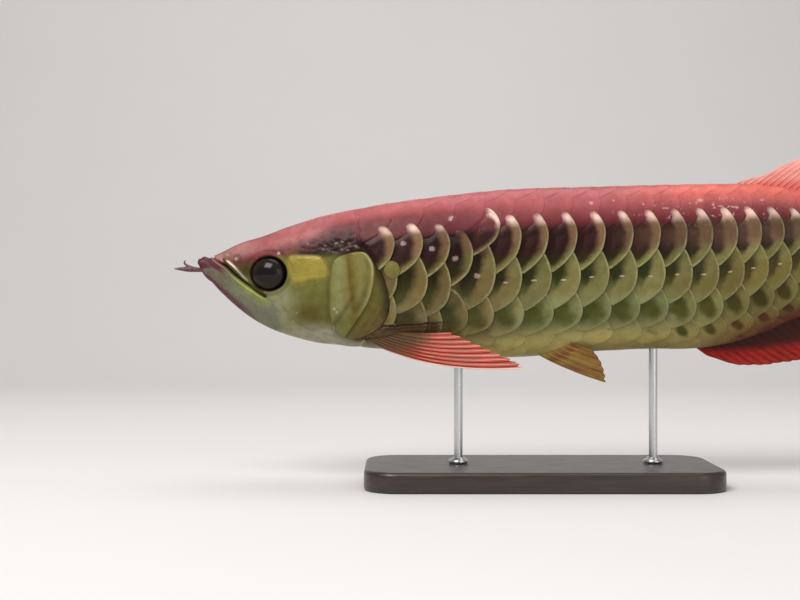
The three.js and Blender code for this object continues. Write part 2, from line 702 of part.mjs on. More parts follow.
function makeBase() {
  const [w, d, r] = [BASE_LENGTH / 2 - BASE_EDGE, BASE_WIDTH / 2 - BASE_EDGE, BASE_CORNER];
  const shape = new THREE.Shape();
  shape.moveTo(-w + r, -d);
  shape.lineTo(w - r, -d);
  shape.absarc(w - r, -d + r, r, -Math.PI / 2, 0);
  shape.lineTo(w, d - r);
  shape.absarc(w - r, d - r, r, 0, Math.PI / 2);
  shape.lineTo(-w + r, d);
  shape.absarc(-w + r, d - r, r, Math.PI / 2, Math.PI);
  shape.lineTo(-w, -d + r);
  shape.absarc(-w + r, -d + r, r, Math.PI, 1.5 * Math.PI);
  const geometry = new THREE.ExtrudeGeometry(shape, {
    depth: BASE_THICKNESS - 2 * BASE_EDGE,
    bevelThickness: BASE_EDGE,
    bevelSize: BASE_EDGE,
    bevelSegments: 1,
    curveSegments: 4,
  });
  geometry.translate(0, 0, BASE_EDGE);
  return solidOf(geometry);
}

function makeRod(station, obstacle) {
  const bottom = BASE_THICKNESS + GAP;
  const height = AXIS_HEIGHT + bellyEdge(station) + ROD_REACH - bottom;
  const rod = new THREE.CylinderGeometry(ROD_RADIUS, ROD_RADIUS, height, 16);
  rod.rotateX(Math.PI / 2);
  const place = swim(new THREE.Vector3(station, 0, 0));
  rod.translate(place.x, place.y, bottom + height / 2);
  return solidOf(rod).subtract(obstacle);
}

// Materials
const paint = (color, roughness, metalness = 0) =>
  new THREE.MeshStandardMaterial({ color, roughness, metalness });
const HEAD_SKIN = paint(0x6a3a34, 0.4);
const JAW_SKIN = paint(0x8a8c74, 0.4);
const COVER_SKIN = paint(0x8d8a45, 0.3, 0.2);
const SCALES = paint(0x7d7c4c, 0.35, 0.2);
const RED_FIN = paint(0xc8402c, 0.5);
const PALE_FIN = paint(0xa8703c, 0.5);
const EYE_BLACK = paint(0x14120f, 0.1);
const BARBEL_SKIN = paint(0x4a2226, 0.5);
const STAND_BASE = paint(0x2b211b, 0.4);
const STAND_STEEL = paint(0xb9bcc0, 0.3, 0.9);

const model = new THREE.Group();

function place(name, solid, material) {
  const mesh = new THREE.Mesh(geometryOf(solid), material);
  mesh.name = name;
  model.add(mesh);
  return solid;
}

// A slab across the body between two stations.
const between = (from, to) => slab([[from, 90], [to, 90], [to, -90], [from, -90]]);

const trunk = scaledTrunk(0).subtract(frontOfHeadEdge(GAP));
place("trunk_front", trunk.intersect(between(50, FRONT_SPLIT)), SCALES);
place("trunk_middle", trunk.intersect(between(FRONT_SPLIT + GAP, REAR_SPLIT)), SCALES);
place("tail_stalk", trunk.intersect(between(REAR_SPLIT + GAP, TAIL_END)), SCALES);

const jaw = place("lower_jaw", makeLowerJaw(), JAW_SKIN);
place("head", makeHead(), HEAD_SKIN);
const bodyClearance = scaledTrunk(GAP).intersect(between(60, TAIL_END + GAP));
const headClearance = headLoft(COVER_PROUD + GAP).intersect(frontOfHeadEdge(GAP));
const clearance = bodyClearance.add(headClearance);

for (const [word, side] of [["left", -1], ["right", 1]]) {
  place(`eye_${word}`, eyeball(side, 0), EYE_BLACK);
  place(`gill_cover_${word}`, makeGillCover(side), COVER_SKIN);
  place(`pectoral_fin_${word}`, makePectoralFin(side).subtract(clearance), RED_FIN);
  place(`pelvic_fin_${word}`, makePelvicFin(side).subtract(clearance), PALE_FIN);
}
const jawClearance = headLoft(GAP).add(lowerLip());
for (const [name, points] of Object.entries(BARBELS)) {
  place(name, makeBarbel(points, jawClearance), BARBEL_SKIN);
}
place("dorsal_fin", makeDorsalFin().subtract(clearance), RED_FIN);
place("anal_fin", makeAnalFin().subtract(clearance), RED_FIN);
place("tail_fin", makeTailFin().subtract(clearance), RED_FIN);

place("stand_base", makeBase(), STAND_BASE);
for (const [name, station] of Object.entries(ROD_STATIONS)) {
  place(name, makeRod(station, clearance), STAND_STEEL);
}

export default model;
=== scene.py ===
"""The looks of a life-size Asian arowana on its display stand, as a panel of build steps."""

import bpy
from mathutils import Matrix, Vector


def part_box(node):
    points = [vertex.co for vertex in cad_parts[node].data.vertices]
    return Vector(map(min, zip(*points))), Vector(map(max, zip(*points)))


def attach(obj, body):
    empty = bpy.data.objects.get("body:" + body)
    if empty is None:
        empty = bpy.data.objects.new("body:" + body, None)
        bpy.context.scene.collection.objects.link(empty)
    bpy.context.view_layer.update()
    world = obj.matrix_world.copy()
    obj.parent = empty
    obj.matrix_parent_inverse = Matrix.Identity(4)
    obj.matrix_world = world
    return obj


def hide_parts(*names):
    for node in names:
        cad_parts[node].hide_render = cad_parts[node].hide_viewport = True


bl_info = {
    "name": "Asian Arowana Model",
    "version": (1, 0, 0),
    "blender": (4, 5, 0),
    "location": "3D View > Sidebar > Arowana",
    "description": "Builds the skin, scales, eyes, fins, stand and studio of a life-size fish model",
    "category": "Object",
}

import math

import bpy
import numpy as np
from bpy.props import FloatProperty, FloatVectorProperty, IntProperty, PointerProperty
from mathutils import Vector

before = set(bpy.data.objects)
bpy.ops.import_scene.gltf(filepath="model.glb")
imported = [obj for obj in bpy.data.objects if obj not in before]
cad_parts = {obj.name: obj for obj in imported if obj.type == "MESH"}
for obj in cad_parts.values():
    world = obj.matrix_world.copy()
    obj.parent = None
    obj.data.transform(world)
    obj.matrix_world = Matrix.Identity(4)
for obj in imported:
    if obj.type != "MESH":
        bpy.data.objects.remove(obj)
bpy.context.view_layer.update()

# The maker's drawing is in millimetres and every mesh is made in metres.
MM = 0.001

# Body, as the solids have it
STANDARD_LENGTH = 435
PERCENT = STANDARD_LENGTH / 100
AXIS_HEIGHT = 127
JAW_TIP_X = -204
TAIL_SWING = 11
SWING_STARTS = 200
TAIL_END = 446

# The body's outlines in percent of the standard length, by station behind the jaw tip
BACK_LINE = [
    (0, 1.9), (1.6, 2.05), (5.7, 3.95), (8.7, 4.85), (11.5, 5.9), (14, 6.75), (17.2, 7.7), (23, 8.85),
    (34.5, 10.4), (42.5, 11.2), (53, 11.55), (74.7, 12.05), (80.5, 11.6), (87.4, 10.35),
    (94.3, 8.8), (100, 7.4), (103, 6.8),
]
BELLY_LINE = [
    (0, 1.0), (0.5, -0.1), (1.5, -1.25), (2.9, -2.8), (5.6, -5.25), (8.4, -7.15), (12, -8.7),
    (17.2, -9.9), (22, -10.35), (34.5, -11.3), (42.5, -11.75), (54.6, -10.9), (61.6, -10.55),
    (67.8, -10.5), (73.1, -9.75), (78, -8.25), (82.8, -6.2), (89.7, -3.7), (95.2, -1.95), (100, -0.85),
    (103, -0.4),
]
HALF_WIDTH = [
    (0, 0.75), (1.6, 1.3), (3.7, 2.0), (6.2, 2.75), (9.4, 3.7), (12.6, 4.4), (17.2, 5.15),
    (23, 5.6), (36.8, 6.0), (50.6, 6.0), (64.4, 5.45), (73.6, 4.6), (80.5, 3.7), (87.4, 2.7),
    (94.3, 1.85), (100, 1.1), (103, 0.45),
]
FLATNESS = [(0, 0.85), (8, 0.74), (25, 0.78), (60, 0.8), (100, 0.9)]  # 1 is a plain oval
KEEL = [(0, 0.2), (9, 0.42), (22, 0.42), (36, 0.28), (70, 0.22), (100, 0)]  # belly drawn in

# Scale lattice: columns count towards the tail, rows from 0 on the back to 7 on the belly
ROW_ANGLES = [0, 37, 65.5, 94, 119.5, 141, 161, 180]
LAST_ROW = len(ROW_ANGLES) - 1
COLUMNS = range(-2, 26)
SCALES_FROM = 113.9
FIRST_SPACING = 19.05
LAST_SPACING = 10.9
ROW_LEAN = [(80, 1.6), (230, 1.8), (350, 4.6), (450, 4.6)]

# Outlines on the side of the head as (station, height above the axis)
MOUTH_LINE = [
    (6.4, 25), (6.5, 14), (7.4, 9.4), (9.9, 6.6), (16.6, 2.4), (22.3, -2.9), (29.9, -8.8), (37.5, -13.8),
    (41, -16.3),
]
JAW_HIND_EDGE = [(41, -16.3), (45.5, -25), (49.5, -35), (51, -46)]
COVER_HIND_EDGE = [
    (99, 11), (105.5, 4.6), (110.8, -4.3), (114, -15), (113.6, -24.5), (110, -32), (103.5, -37),
]
COVER_FRONT_EDGE = [
    (94.5, -40.3), (86, -39.2), (80.5, -33.5), (78.8, -20), (78.6, -6), (81, 5.5), (89, 10.2),
]
HEAD_HIND_EDGE = [
    (87, 70), (87, 40), (91, 28), (97, 15), *COVER_HIND_EDGE, (97, -42), (93, -50), (92, -70),
]
UPPER_JAW_PLATE = [
    (14.6, 8.0), (17.6, 6.6), (22.5, 2.6), (28.2, -3.4), (33.5, -8.2), (41.6, -13.8), (41.2, -15.6),
    (30.4, -7.6), (22.8, -1.6), (16.6, 4.0),
]
UPPER_CHEEK_PLATE = [
    (55, 8.2), (65, 9), (74, 7.8), (78.4, 1), (79, -3), (68, -5.6), (58, -7.2), (54.6, 0),
]
LOWER_CHEEK_PLATE = [
    (50, -18), (57, -9.4), (66, -7), (77, -7.6), (77.4, -20), (76.6, -31), (70, -35), (60, -31),
]
HARD_COVER_EDGE = [
    (92, 15), (99.1, 11.4), (103.7, 4.5), (104.6, -3), (103.7, -9), (101.4, -17), (97.9, -23),
    (91, -33), (85, -41),
]

# Eyes
EYE_STATION = 42.8
EYE_HEIGHT = -1.6
EYE_RADIUS = 10.5
EYE_LONG = 1.04  # the eye is a little longer than tall
EYE_TALL = 0.94
EYE_DEPTH = 7.2
EYE_OUT = 13.0
EYE_TURN = 0.27


def linear(red, green, blue):
    """A colour given in 0 to 255 as a picture shows it, in the renderer's linear values."""
    values = np.array([red, green, blue]) / 255
    return tuple(np.where(values <= 0.04045, values / 12.92, ((values + 0.055) / 1.055) ** 2.4))


def colour(name, description, red, green, blue):
    return FloatVectorProperty(
        name=name,
        description=description,
        subtype="COLOR",
        size=3,
        min=0,
        max=1,
        default=linear(red, green, blue),
    )


def length(name, description, millimetres):
    return FloatProperty(
        name=name, description=description, default=millimetres * MM, min=0, unit="LENGTH", precision=5
    )


class ArowanaSizes(bpy.types.PropertyGroup):
    plate_step: length("Scale step", "Height of a scale's free edge above the next scale", 1.2)
    plate_thickness: length("Scale thickness", "Thickness of one scale in its middle", 0.35)
    lip: length("Lip", "How far the lower lip stands out", 1.2)
    mouth_gap: length("Mouth depth", "Depth of the closed mouth's gap", 3.2)
    cover_proud: length("Gill cover", "How far the gill cover stands above the skin", 1.25)
    ray_half: length("Fin ray", "Half thickness of a fin ray at its root", 0.75)
    web_half: length("Fin membrane", "Half thickness of a fin's membrane", 0.26)
    branches: IntProperty(
        name="Ray branches", description="Times that a soft ray forks", default=2, min=0, max=3
    )


class ArowanaColours(bpy.types.PropertyGroup):
    # The back's dusty red is partly the fish's own colour and partly painted pink light from above, brightest
    # towards the top.
    back: colour("Back", "Dusty red of the back", 176, 95, 99)
    salmon: colour("Salmon", "Back beside the dorsal fin, and that fin", 224, 112, 98)
    maroon: colour("Maroon", "Dark red between back and flank", 106, 44, 48)
    umber: colour("Umber", "Dark centre of the upper flank's scales", 46, 21, 21)
    moss: colour("Moss", "Dark centre of the middle scales", 48, 52, 20)
    fern: colour("Fern", "Centre of the lower scales", 84, 90, 36)
    tan: colour("Tan", "Band of the upper flank's scales", 120, 92, 68)
    clay: colour("Clay", "Band of the shoulder's scales", 116, 97, 60)
    olive: colour("Olive", "Band of the middle scales", 124, 120, 74)
    sage: colour("Sage", "Band of the lower scales", 134, 138, 92)
    belly: colour("Belly", "Underside of the trunk", 190, 176, 112)
    rim: colour("Rim", "Bright free edge of a scale", 166, 162, 112)
    # On the upper tips of row 2 this cream is a painted highlight of the light from above.
    cream: colour("Cream", "Upper tips of the flank scales", 236, 204, 190)
    bronze: colour("Bronze", "Tint of the hind flank", 106, 90, 34)
    rust: colour("Rust", "Tint round the roots of the hind fins", 92, 34, 20)
    crown: colour("Crown", "Top of the head", 170, 101, 102)
    temple: colour("Temple", "Dark mottled skin above the gill cover", 40, 22, 21)
    cheek: colour("Cheek", "Side of the head", 106, 108, 52)
    plate: colour("Cheek plate", "Golden plate behind the eye", 162, 147, 68)
    throat: colour("Throat", "Underside of the head", 150, 150, 126)
    jaw: colour("Jaw", "Side of the lower jaw", 112, 114, 94)
    lip: colour("Lip", "Bright line of the lower lip", 166, 184, 84)
    chin: colour("Chin", "Dark lobe at the chin and the barbels", 88, 46, 52)
    cover: colour("Gill cover", "Plate of the gill cover", 126, 120, 62)
    flap: colour("Gill flap", "Soft edge of the gill cover", 100, 94, 46)
    fin_red: colour("Fin red", "Membrane of the red fins", 146, 16, 9)
    fin_root: colour("Fin root", "Dark root of the red fins", 54, 18, 10)
    fin_ray: colour("Fin ray", "Rays of the red fins", 212, 98, 72)
    fin_gold: colour("Fin gold", "Root of the pelvic fins", 150, 133, 66)
    fin_amber: colour("Fin amber", "Membrane of the pelvic fins", 106, 54, 30)
    wood: colour("Wood", "Stained wood of the base", 44, 32, 25)
    floor: colour("Floor", "Pale studio floor", 224, 222, 220)


def settings(context):
    """The sizes and colours that the panel shows."""
    return context.scene.arowana_sizes, context.scene.arowana_colours


# Curves and outlines

def step(low, high, value):
    """0 below low, 1 above high and smooth between."""
    t = np.clip((np.asarray(value, float) - low) / (high - low), 0, 1)
    return t * t * (3 - 2 * t)


def ridge(value, centre, width):
    """A smooth bump of height 1."""
    return np.exp(-(((np.asarray(value, float) - centre) / width) ** 2))


def curve_through(pairs):
    """A smooth curve through a short list of (where, value) pairs."""
    x, y = np.array(pairs, float).T
    last = len(x) - 1
    ahead = np.minimum(np.arange(last + 1) + 1, last)
    behind = np.maximum(np.arange(last + 1) - 1, 0)
    slope = (y[ahead] - y[behind]) / (x[ahead] - x[behind])

    def at(where):
        where = np.asarray(where, float)
        i = np.clip(np.searchsorted(x, where, side="right") - 1, 0, last - 1)
        span = x[i + 1] - x[i]
        t = np.clip((where - x[i]) / span, 0, 1)
        bend = t * (1 - t) * (slope[i] * (1 - t) - slope[i + 1] * t) * span
        return y[i] + (y[i + 1] - y[i]) * t * t * (3 - 2 * t) + bend

    return at


def path_through(points, count):
    """Points spread evenly along a smooth path through a few corners of any dimension."""
    points = np.array(points, float)
    gone = np.concatenate([[0], np.cumsum(np.linalg.norm(np.diff(points, axis=0), axis=1))])
    where = np.linspace(0, gone[-1], count)
    return np.stack([curve_through(list(zip(gone, axis)))(where) for axis in points.T], -1)


def loop_through(corners, count):
    """A closed smooth outline through a few corners."""
    corners = list(corners)
    around = path_through(corners[-3:] + corners + corners[:4], 8 * count)
    lengths = [0]
    for a, b in zip(corners, corners[1:] + corners[:1]):
        lengths.append(lengths[-1] + math.dist(a, b))
    lead = sum(math.dist(a, b) for a, b in zip(corners[-3:], corners[-2:] + corners[:1]))
    total = lead + lengths[-1] + sum(math.dist(a, b) for a, b in zip(corners[:4], corners[1:4]))
    share = (lead + np.linspace(0, lengths[-1], count, endpoint=False)) / total
    index = share * (len(around) - 1)
    low = np.floor(index).astype(int)
    part = (index - low)[:, None]
    return around[low] * (1 - part) + around[low + 1] * part


def segment_distances(x, z, a, b):
    run = b - a
    share = np.clip(((x - a[0]) * run[0] + (z - a[1]) * run[1]) / (run @ run), 0, 1)
    gap = np.hypot(x - a[0] - share * run[0], z - a[1] - share * run[1])
    cross = run[0] * (z - a[1]) - run[1] * (x - a[0])
    return gap, share, cross


def beside_path(x, z, path):
    """Signed distance from an open path, positive to its left, and the share gone along it."""
    path = np.array(path, float)
    nearest = np.full(np.shape(x), np.inf)
    side = np.ones(np.shape(x))
    along = np.zeros(np.shape(x))
    for i, (a, b) in enumerate(zip(path, path[1:])):
        gap, share, cross = segment_distances(x, z, a, b)
        closer = gap < nearest
        nearest = np.where(closer, gap, nearest)
        side = np.where(closer, np.where(cross > 0, 1.0, -1.0), side)
        along = np.where(closer, (i + share) / (len(path) - 1), along)
    return nearest * side, along


def inside_outline(x, z, outline):
    """Distance from a closed outline, positive inside it."""
    nearest = np.full(np.shape(x), np.inf)
    inside = np.zeros(np.shape(x), bool)
    for a, b in zip(outline, np.roll(outline, -1, axis=0)):
        gap, _, _ = segment_distances(x, z, a, b)
        nearest = np.minimum(nearest, gap)
        crosses = (a[1] > z) != (b[1] > z)
        if a[1] != b[1]:
            inside ^= crosses & (x < a[0] + (z - a[1]) * (b[0] - a[0]) / (b[1] - a[1]))
    return np.where(inside, nearest, -nearest)


# The body's shape

back_at = curve_through(BACK_LINE)
belly_at = curve_through(BELLY_LINE)
width_at = curve_through(HALF_WIDTH)
flatness_at = curve_through(FLATNESS)
keel_at = curve_through(KEEL)
row_angle = curve_through([(row, math.radians(degrees)) for row, degrees in enumerate(ROW_ANGLES)])
row_lean = curve_through(ROW_LEAN)


def section(station):
    """Middle height, half height, half width, flatness and keel of the body at a station."""
    share = np.asarray(station, float) / PERCENT
    top, bottom, width = (at(share) * PERCENT for at in (back_at, belly_at, width_at))
    return (top + bottom) / 2, (top - bottom) / 2, width, flatness_at(share), keel_at(share)


def skin(station, angle):
    """The straight body's surface. The angle turns from 0 at the back down the left side."""
    middle, half, width, flatness, keel = section(station)
    low = np.maximum(0, -np.cos(angle))
    out = width * np.abs(np.sin(angle)) ** flatness * (1 - keel * low * low)
    side = -np.sign(np.sin(angle)) * out
    station = np.broadcast_to(station, side.shape)
    return np.stack([station, side, middle + half * np.cos(angle)], -1)


def lifted(station, angle, lift):
    """The same surface moved out along its own normal."""
    turn = 0.02
    point = skin(station, angle)
    along = skin(station + 1, angle) - skin(station - 1, angle)
    around = skin(station, angle + turn) - skin(station, angle - turn)
    normal = np.cross(along, around)
    normal /= np.maximum(np.linalg.norm(normal, axis=-1, keepdims=True), 1e-9)
    middle = section(station)[0]
    outward = point[..., 1] * normal[..., 1] + (point[..., 2] - middle) * normal[..., 2]
    normal = np.where(outward[..., None] < 0, -normal, normal)
    return point + normal * np.asarray(lift)[..., None]


def angle_at(station, height):
    middle, half, *_ = section(station)
    return np.arccos(np.clip((height - middle) / half, -1, 1))


def swim(points):
    """From the straight body to where the fish swims."""
    past = np.maximum(0, points[..., 0] - SWING_STARTS) / (STANDARD_LENGTH - SWING_STARTS)
    return np.stack(
        [JAW_TIP_X + points[..., 0], points[..., 1] + TAIL_SWING * past**2, AXIS_HEIGHT + points[..., 2]], -1
    )


# Meshes

def make_piece(name, points, faces, numbers=None, paints=None, uv=None):
    """A mesh object from points in millimetres, with named numbers and colours on its points."""
    mesh = bpy.data.meshes.new(name)
    faces = faces.tolist() if isinstance(faces, np.ndarray) else faces
    mesh.from_pydata((np.asarray(points) * MM).tolist(), [], faces)
    for label, values in (numbers or {}).items():
        layer = mesh.attributes.new(label, "FLOAT", "POINT")
        layer.data.foreach_set("value", np.ascontiguousarray(values, dtype=np.float32).ravel())
    for label, paint in (paints or {}).items():
        layer = mesh.attributes.new(label, "FLOAT_COLOR", "POINT")
        rgba = np.ones((len(points), 4), np.float32)
        rgba[:, :3] = paint
        layer.data.foreach_set("color", rgba.ravel())
    if uv is not None:
        layer = mesh.uv_layers.new(name="OFBake")
        layer.data.foreach_set("uv", np.asarray(uv, np.float32).ravel())
    mesh.update()
    piece = bpy.data.objects.new(name, mesh)
    bpy.context.scene.collection.objects.link(piece)
    mesh.shade_smooth()
    return piece


def grid_faces(rows, columns, closed=False):
    """Quads between neighbouring rows of points."""
    across = columns if closed else columns - 1
    r, c = np.meshgrid(np.arange(rows - 1), np.arange(across), indexing="ij")
    n = (c + 1) % columns
    here, ahead = r * columns, (r + 1) * columns
    return np.stack([here + c, here + n, ahead + n, ahead + c], -1).reshape(-1, 4)


def closed_tube(rows, columns, flip=False):
    """Faces of rings joined into a tube, with a fan round a last point at each end."""
    faces = grid_faces(rows, columns, closed=True).tolist()
    last_ring, hub = (rows - 1) * columns, rows * columns
    for k in range(columns):
        n = (k + 1) % columns
        faces.append([hub, n, k])
        faces.append([hub + 1, last_ring + k, last_ring + n])
    return [face[::-1] for face in faces] if flip else faces


def rope(path, radii, sides):
    """Points and faces of a round rope along a path, closed at both ends."""
    path = np.asarray(path, float)
    ahead = np.gradient(path, axis=0)
    ahead /= np.linalg.norm(ahead, axis=1, keepdims=True)
    up = np.array([0.13, 0.21, 0.97])
    side = np.cross(ahead, up)
    side /= np.linalg.norm(side, axis=1, keepdims=True)
    over = np.cross(side, ahead)
    turn = np.linspace(0, 2 * math.pi, sides, endpoint=False)
    rings = path[:, None] + np.asarray(radii)[:, None, None] * (
        side[:, None] * np.cos(turn)[:, None] + over[:, None] * np.sin(turn)[:, None]
    )
    count = len(path)
    points = np.concatenate([rings.reshape(-1, 3), path[:1], path[-1:]])
    along = np.concatenate([np.repeat(np.linspace(0, 1, count), sides), [0, 1]])
    return points, closed_tube(count, sides), along


def finish_piece(piece, slot, material, *nodes):
    """Gives a piece its material, attaches it to the root body and hides the solids that it stands for; the
    slot is not used.
    """
    piece.data.materials.clear()
    piece.data.materials.append(material)
    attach(piece, "root")
    if nodes:
        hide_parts(*nodes)


# Materials

class Finish:
    """One material and short calls for wiring its nodes."""

    def __init__(self, name, **constants):
        self.material = bpy.data.materials.new(name)
        self.material.use_nodes = True
        self.tree = self.material.node_tree
        self.shader = self.tree.nodes["Principled BSDF"]
        for socket, value in constants.items():
            self.shader.inputs[socket.replace("_", " ")].default_value = value

    def node(self, kind, **settings):
        made = self.tree.nodes.new(kind)
        for key, value in settings.items():
            setattr(made, key, value)
        return made

    def put(self, socket, value):
        if isinstance(value, bpy.types.NodeSocket):
            self.tree.links.new(value, socket)
        elif socket.type == "RGBA":
            socket.default_value = (*value[:3], 1)
        else:
            socket.default_value = value

    def set(self, socket, value):
        self.put(self.shader.inputs[socket], value)

    def number(self, name):
        return self.node("ShaderNodeAttribute", attribute_name=name).outputs["Fac"]

    def paint(self, name):
        return self.node("ShaderNodeAttribute", attribute_name=name).outputs["Color"]

    def math(self, operation, *values):
        made = self.node("ShaderNodeMath", operation=operation)
        for socket, value in zip(made.inputs, values):
            self.put(socket, value)
        return made.outputs[0]

    def span(self, value, low, high, to_low=0.0, to_high=1.0):
        made = self.node("ShaderNodeMapRange", interpolation_type="SMOOTHSTEP")
        for socket, number in zip(made.inputs, (value, low, high, to_low, to_high)):
            self.put(socket, number)
        return made.outputs[0]

    def mix(self, factor, a, b, blend="MIX"):
        made = self.node("ShaderNodeMix", data_type="RGBA", blend_type=blend)
        self.put(made.inputs[0], factor)
        self.put(made.inputs[6], a)
        self.put(made.inputs[7], b)
        return made.outputs[2]

    def ramp(self, value, stops):
        made = self.node("ShaderNodeValToRGB")
        ends = made.color_ramp.elements
        while len(ends) < len(stops):
            ends.new(0.5)
        for end, (where, tint) in zip(ends, stops):
            end.position = where
            end.color = (*tint[:3], 1)
        self.put(made.inputs[0], value)
        return made.outputs[0]

    def texture(self, kind, size, stretch):
        """A texture whose lumps are about size millimetres across, before the stretch."""
        place = self.node("ShaderNodeTexCoord").outputs["Object"]
        mapping = self.node("ShaderNodeMapping")
        self.put(mapping.inputs["Vector"], place)
        mapping.inputs["Scale"].default_value = [1 / s for s in stretch]
        made = self.node(kind)
        self.put(made.inputs["Vector"], mapping.outputs[0])
        made.inputs["Scale"].default_value = 1 / (size * MM)
        return made

    def noise(self, size, detail=3.0, stretch=(1, 1, 1), roughness=0.55):
        made = self.texture("ShaderNodeTexNoise", size, stretch)
        made.inputs["Detail"].default_value = detail
        made.inputs["Roughness"].default_value = roughness
        return made.outputs["Fac"]

    def cells(self, size, stretch):
        return self.texture("ShaderNodeTexVoronoi", size, stretch).outputs["Distance"]

    def bump(self, height, millimetres, strength=1.0, under=None):
        made = self.node("ShaderNodeBump")
        made.inputs["Distance"].default_value = millimetres * MM
        made.inputs["Strength"].default_value = strength
        self.put(made.inputs["Height"], height)
        if under is not None:
            self.put(made.inputs["Normal"], under)
        return made.outputs[0]


def skin_finish(name):
    """Wet skin over the painted colours, with mottling, fine pores and painted glints where the spark number
    is set.
    """
    finish = Finish(
        name, Coat_Weight=0.06, Coat_Roughness=0.2, Specular_IOR_Level=0.1,
        Subsurface_Weight=0.08, Subsurface_Scale=0.002,
    )
    painted = finish.paint("paint")
    mottle = finish.noise(5, 4)
    fine = finish.noise(1.1, 3)
    tint = finish.mix(finish.span(mottle, 0.35, 0.7, 0, 0.5), painted, (0.7, 0.56, 0.42), "MULTIPLY")
    tint = finish.mix(finish.span(fine, 0.5, 0.75, 0, 0.35), tint, (0.6, 0.52, 0.42), "MULTIPLY")
    # Painted glints.
    tint = finish.mix(finish.math("MULTIPLY", finish.number("spark"), 0.8), tint, (0.72, 0.66, 0.5))
    finish.set("Base Color", tint)
    finish.set("Roughness", finish.span(mottle, 0.3, 0.7, 0.32, 0.5))
    finish.set("Metallic", finish.math("MULTIPLY", finish.number("shine"), 0.45))
    pores = finish.bump(finish.cells(1.6, (1.3, 1, 1)), 0.12, 0.5)
    finish.set("Normal", finish.bump(finish.noise(2.6, 5), 0.3, 0.6, pores))
    return finish.material


def scale_finish(name, c):
    """Scales with a dark centre, a paler band along the free edge and a bright rim."""
    finish = Finish(
        name, Coat_Weight=0.055, Coat_Roughness=0.2, Specular_IOR_Level=0.1,
        Subsurface_Weight=0.05, Subsurface_Scale=0.001,
    )
    edge = finish.number("edge")
    cloud = finish.noise(6, 5)
    uneven = finish.noise(2.2, 3)
    grain = finish.noise(0.9, 4, (2, 1, 1))
    wobble = finish.math("MULTIPLY_ADD", cloud, 0.16, -0.08)
    centre = finish.span(finish.math("ADD", finish.number("core"), wobble), -0.1, 0.13)
    tint = finish.mix(centre, finish.paint("band_paint"), finish.paint("core_paint"))
    cloudy = finish.span(cloud, 0.32, 0.7, 0, 0.5)
    tint = finish.mix(cloudy, tint, (0.72, 0.62, 0.48), "MULTIPLY")
    worn = finish.math("ADD", edge, finish.math("MULTIPLY_ADD", uneven, 0.12, -0.06))
    rimmed = finish.math("MULTIPLY", finish.number("rimmed"), finish.span(cloud, 0.34, 0.6, 0.4, 1.1))
    rim = finish.math("MULTIPLY", finish.span(worn, 0.01, 0.1, 1, 0), rimmed)
    tint = finish.mix(rim, tint, c.rim)
    # Bright spots: lateral line ticks and pores, and on row 1 painted glints.
    along = finish.math("POWER", finish.number("spot_along"), 2.0)
    across = finish.math("POWER", finish.number("spot_across"), 2.0)
    ragged = finish.math("MULTIPLY_ADD", uneven, 2.0, -1.0)
    spot = finish.span(finish.math("ADD", finish.math("ADD", along, across), ragged), 0.0, 1.4, 1, 0)
    tint = finish.mix(finish.math("MULTIPLY", spot, finish.number("spot_shine")), tint, c.cream)
    # Small specks of painted glint on the back.
    glint_flecks = finish.math("MULTIPLY", finish.span(finish.noise(2.6, 2), 0.61, 0.72), finish.number("glint_specks"))
    tint = finish.mix(glint_flecks, tint, c.cream)
    # A dark line of painted shade in the crease of the fold over the pectoral fin's root, and a fainter one
    # just below it.
    fold = finish.math("ADD", finish.number("fold"), finish.math("MULTIPLY_ADD", cloud, 3.0, -1.5))
    line = finish.span(finish.math("ABSOLUTE", fold), 0.4, 1.0, 0.95, 0)
    faint = finish.span(finish.math("ABSOLUTE", finish.math("ADD", fold, 2.0)), 0.2, 0.7, 0.6, 0)
    line = finish.math("MULTIPLY", finish.math("MAXIMUM", line, faint), finish.number("fold_shown"))
    tint = finish.mix(line, tint, c.umber)
    tint = finish.mix(finish.span(grain, 0.45, 0.75, 0, 0.3), tint, (0.6, 0.58, 0.5), "MULTIPLY")
    finish.set("Base Color", tint)
    finish.set("Roughness", finish.span(cloud, 0.3, 0.7, 0.24, 0.38))
    finish.set("Metallic", finish.math("MULTIPLY", rimmed, 0.35))
    rings = finish.math("SINE", finish.math("MULTIPLY", edge, 150))
    growth = finish.bump(rings, 0.05, 0.35)
    finish.set("Normal", finish.bump(grain, 0.12, 0.4, growth))
    return finish.material


def fin_finish(name, membrane, root, ray, crest, pale):
    """A thin fin: dark at its root, with brighter rays. pale says how far crests and edge whiten."""
    finish = Finish(
        name, Coat_Weight=0.06, Coat_Roughness=0.2, Specular_IOR_Level=0.12,
        Subsurface_Weight=0.12, Subsurface_Scale=0.002,
    )
    along = finish.number("along")
    rib = finish.number("ray")
    streak = finish.noise(5, 4, (3, 1, 1))
    tint = finish.mix(finish.span(streak, 0.35, 0.7, 0, 0.55), membrane, root)
    shown = finish.math("MULTIPLY", finish.span(rib, 0.3, 0.85), finish.span(streak, 0.3, 0.6, 1, 0.7))
    tint = finish.mix(shown, tint, ray)
    tint = finish.mix(finish.number("dark"), tint, root)
    shown = finish.math("MULTIPLY", finish.span(rib, 0.82, 1), finish.span(along, 0.4, 0.9, 0, pale))
    tint = finish.mix(shown, tint, crest)
    tint = finish.mix(finish.math("MULTIPLY", finish.number("lead"), pale), tint, crest)
    finish.set("Base Color", tint)
    finish.set("Roughness", finish.span(streak, 0.3, 0.7, 0.34, 0.52))
    joints = finish.math("SINE", finish.math("MULTIPLY", along, 260))
    segments = finish.bump(finish.math("MULTIPLY", joints, rib), 0.06, 0.5)
    finish.set("Normal", finish.bump(finish.noise(0.9, 3), 0.05, 0.4, segments))
    return finish.material


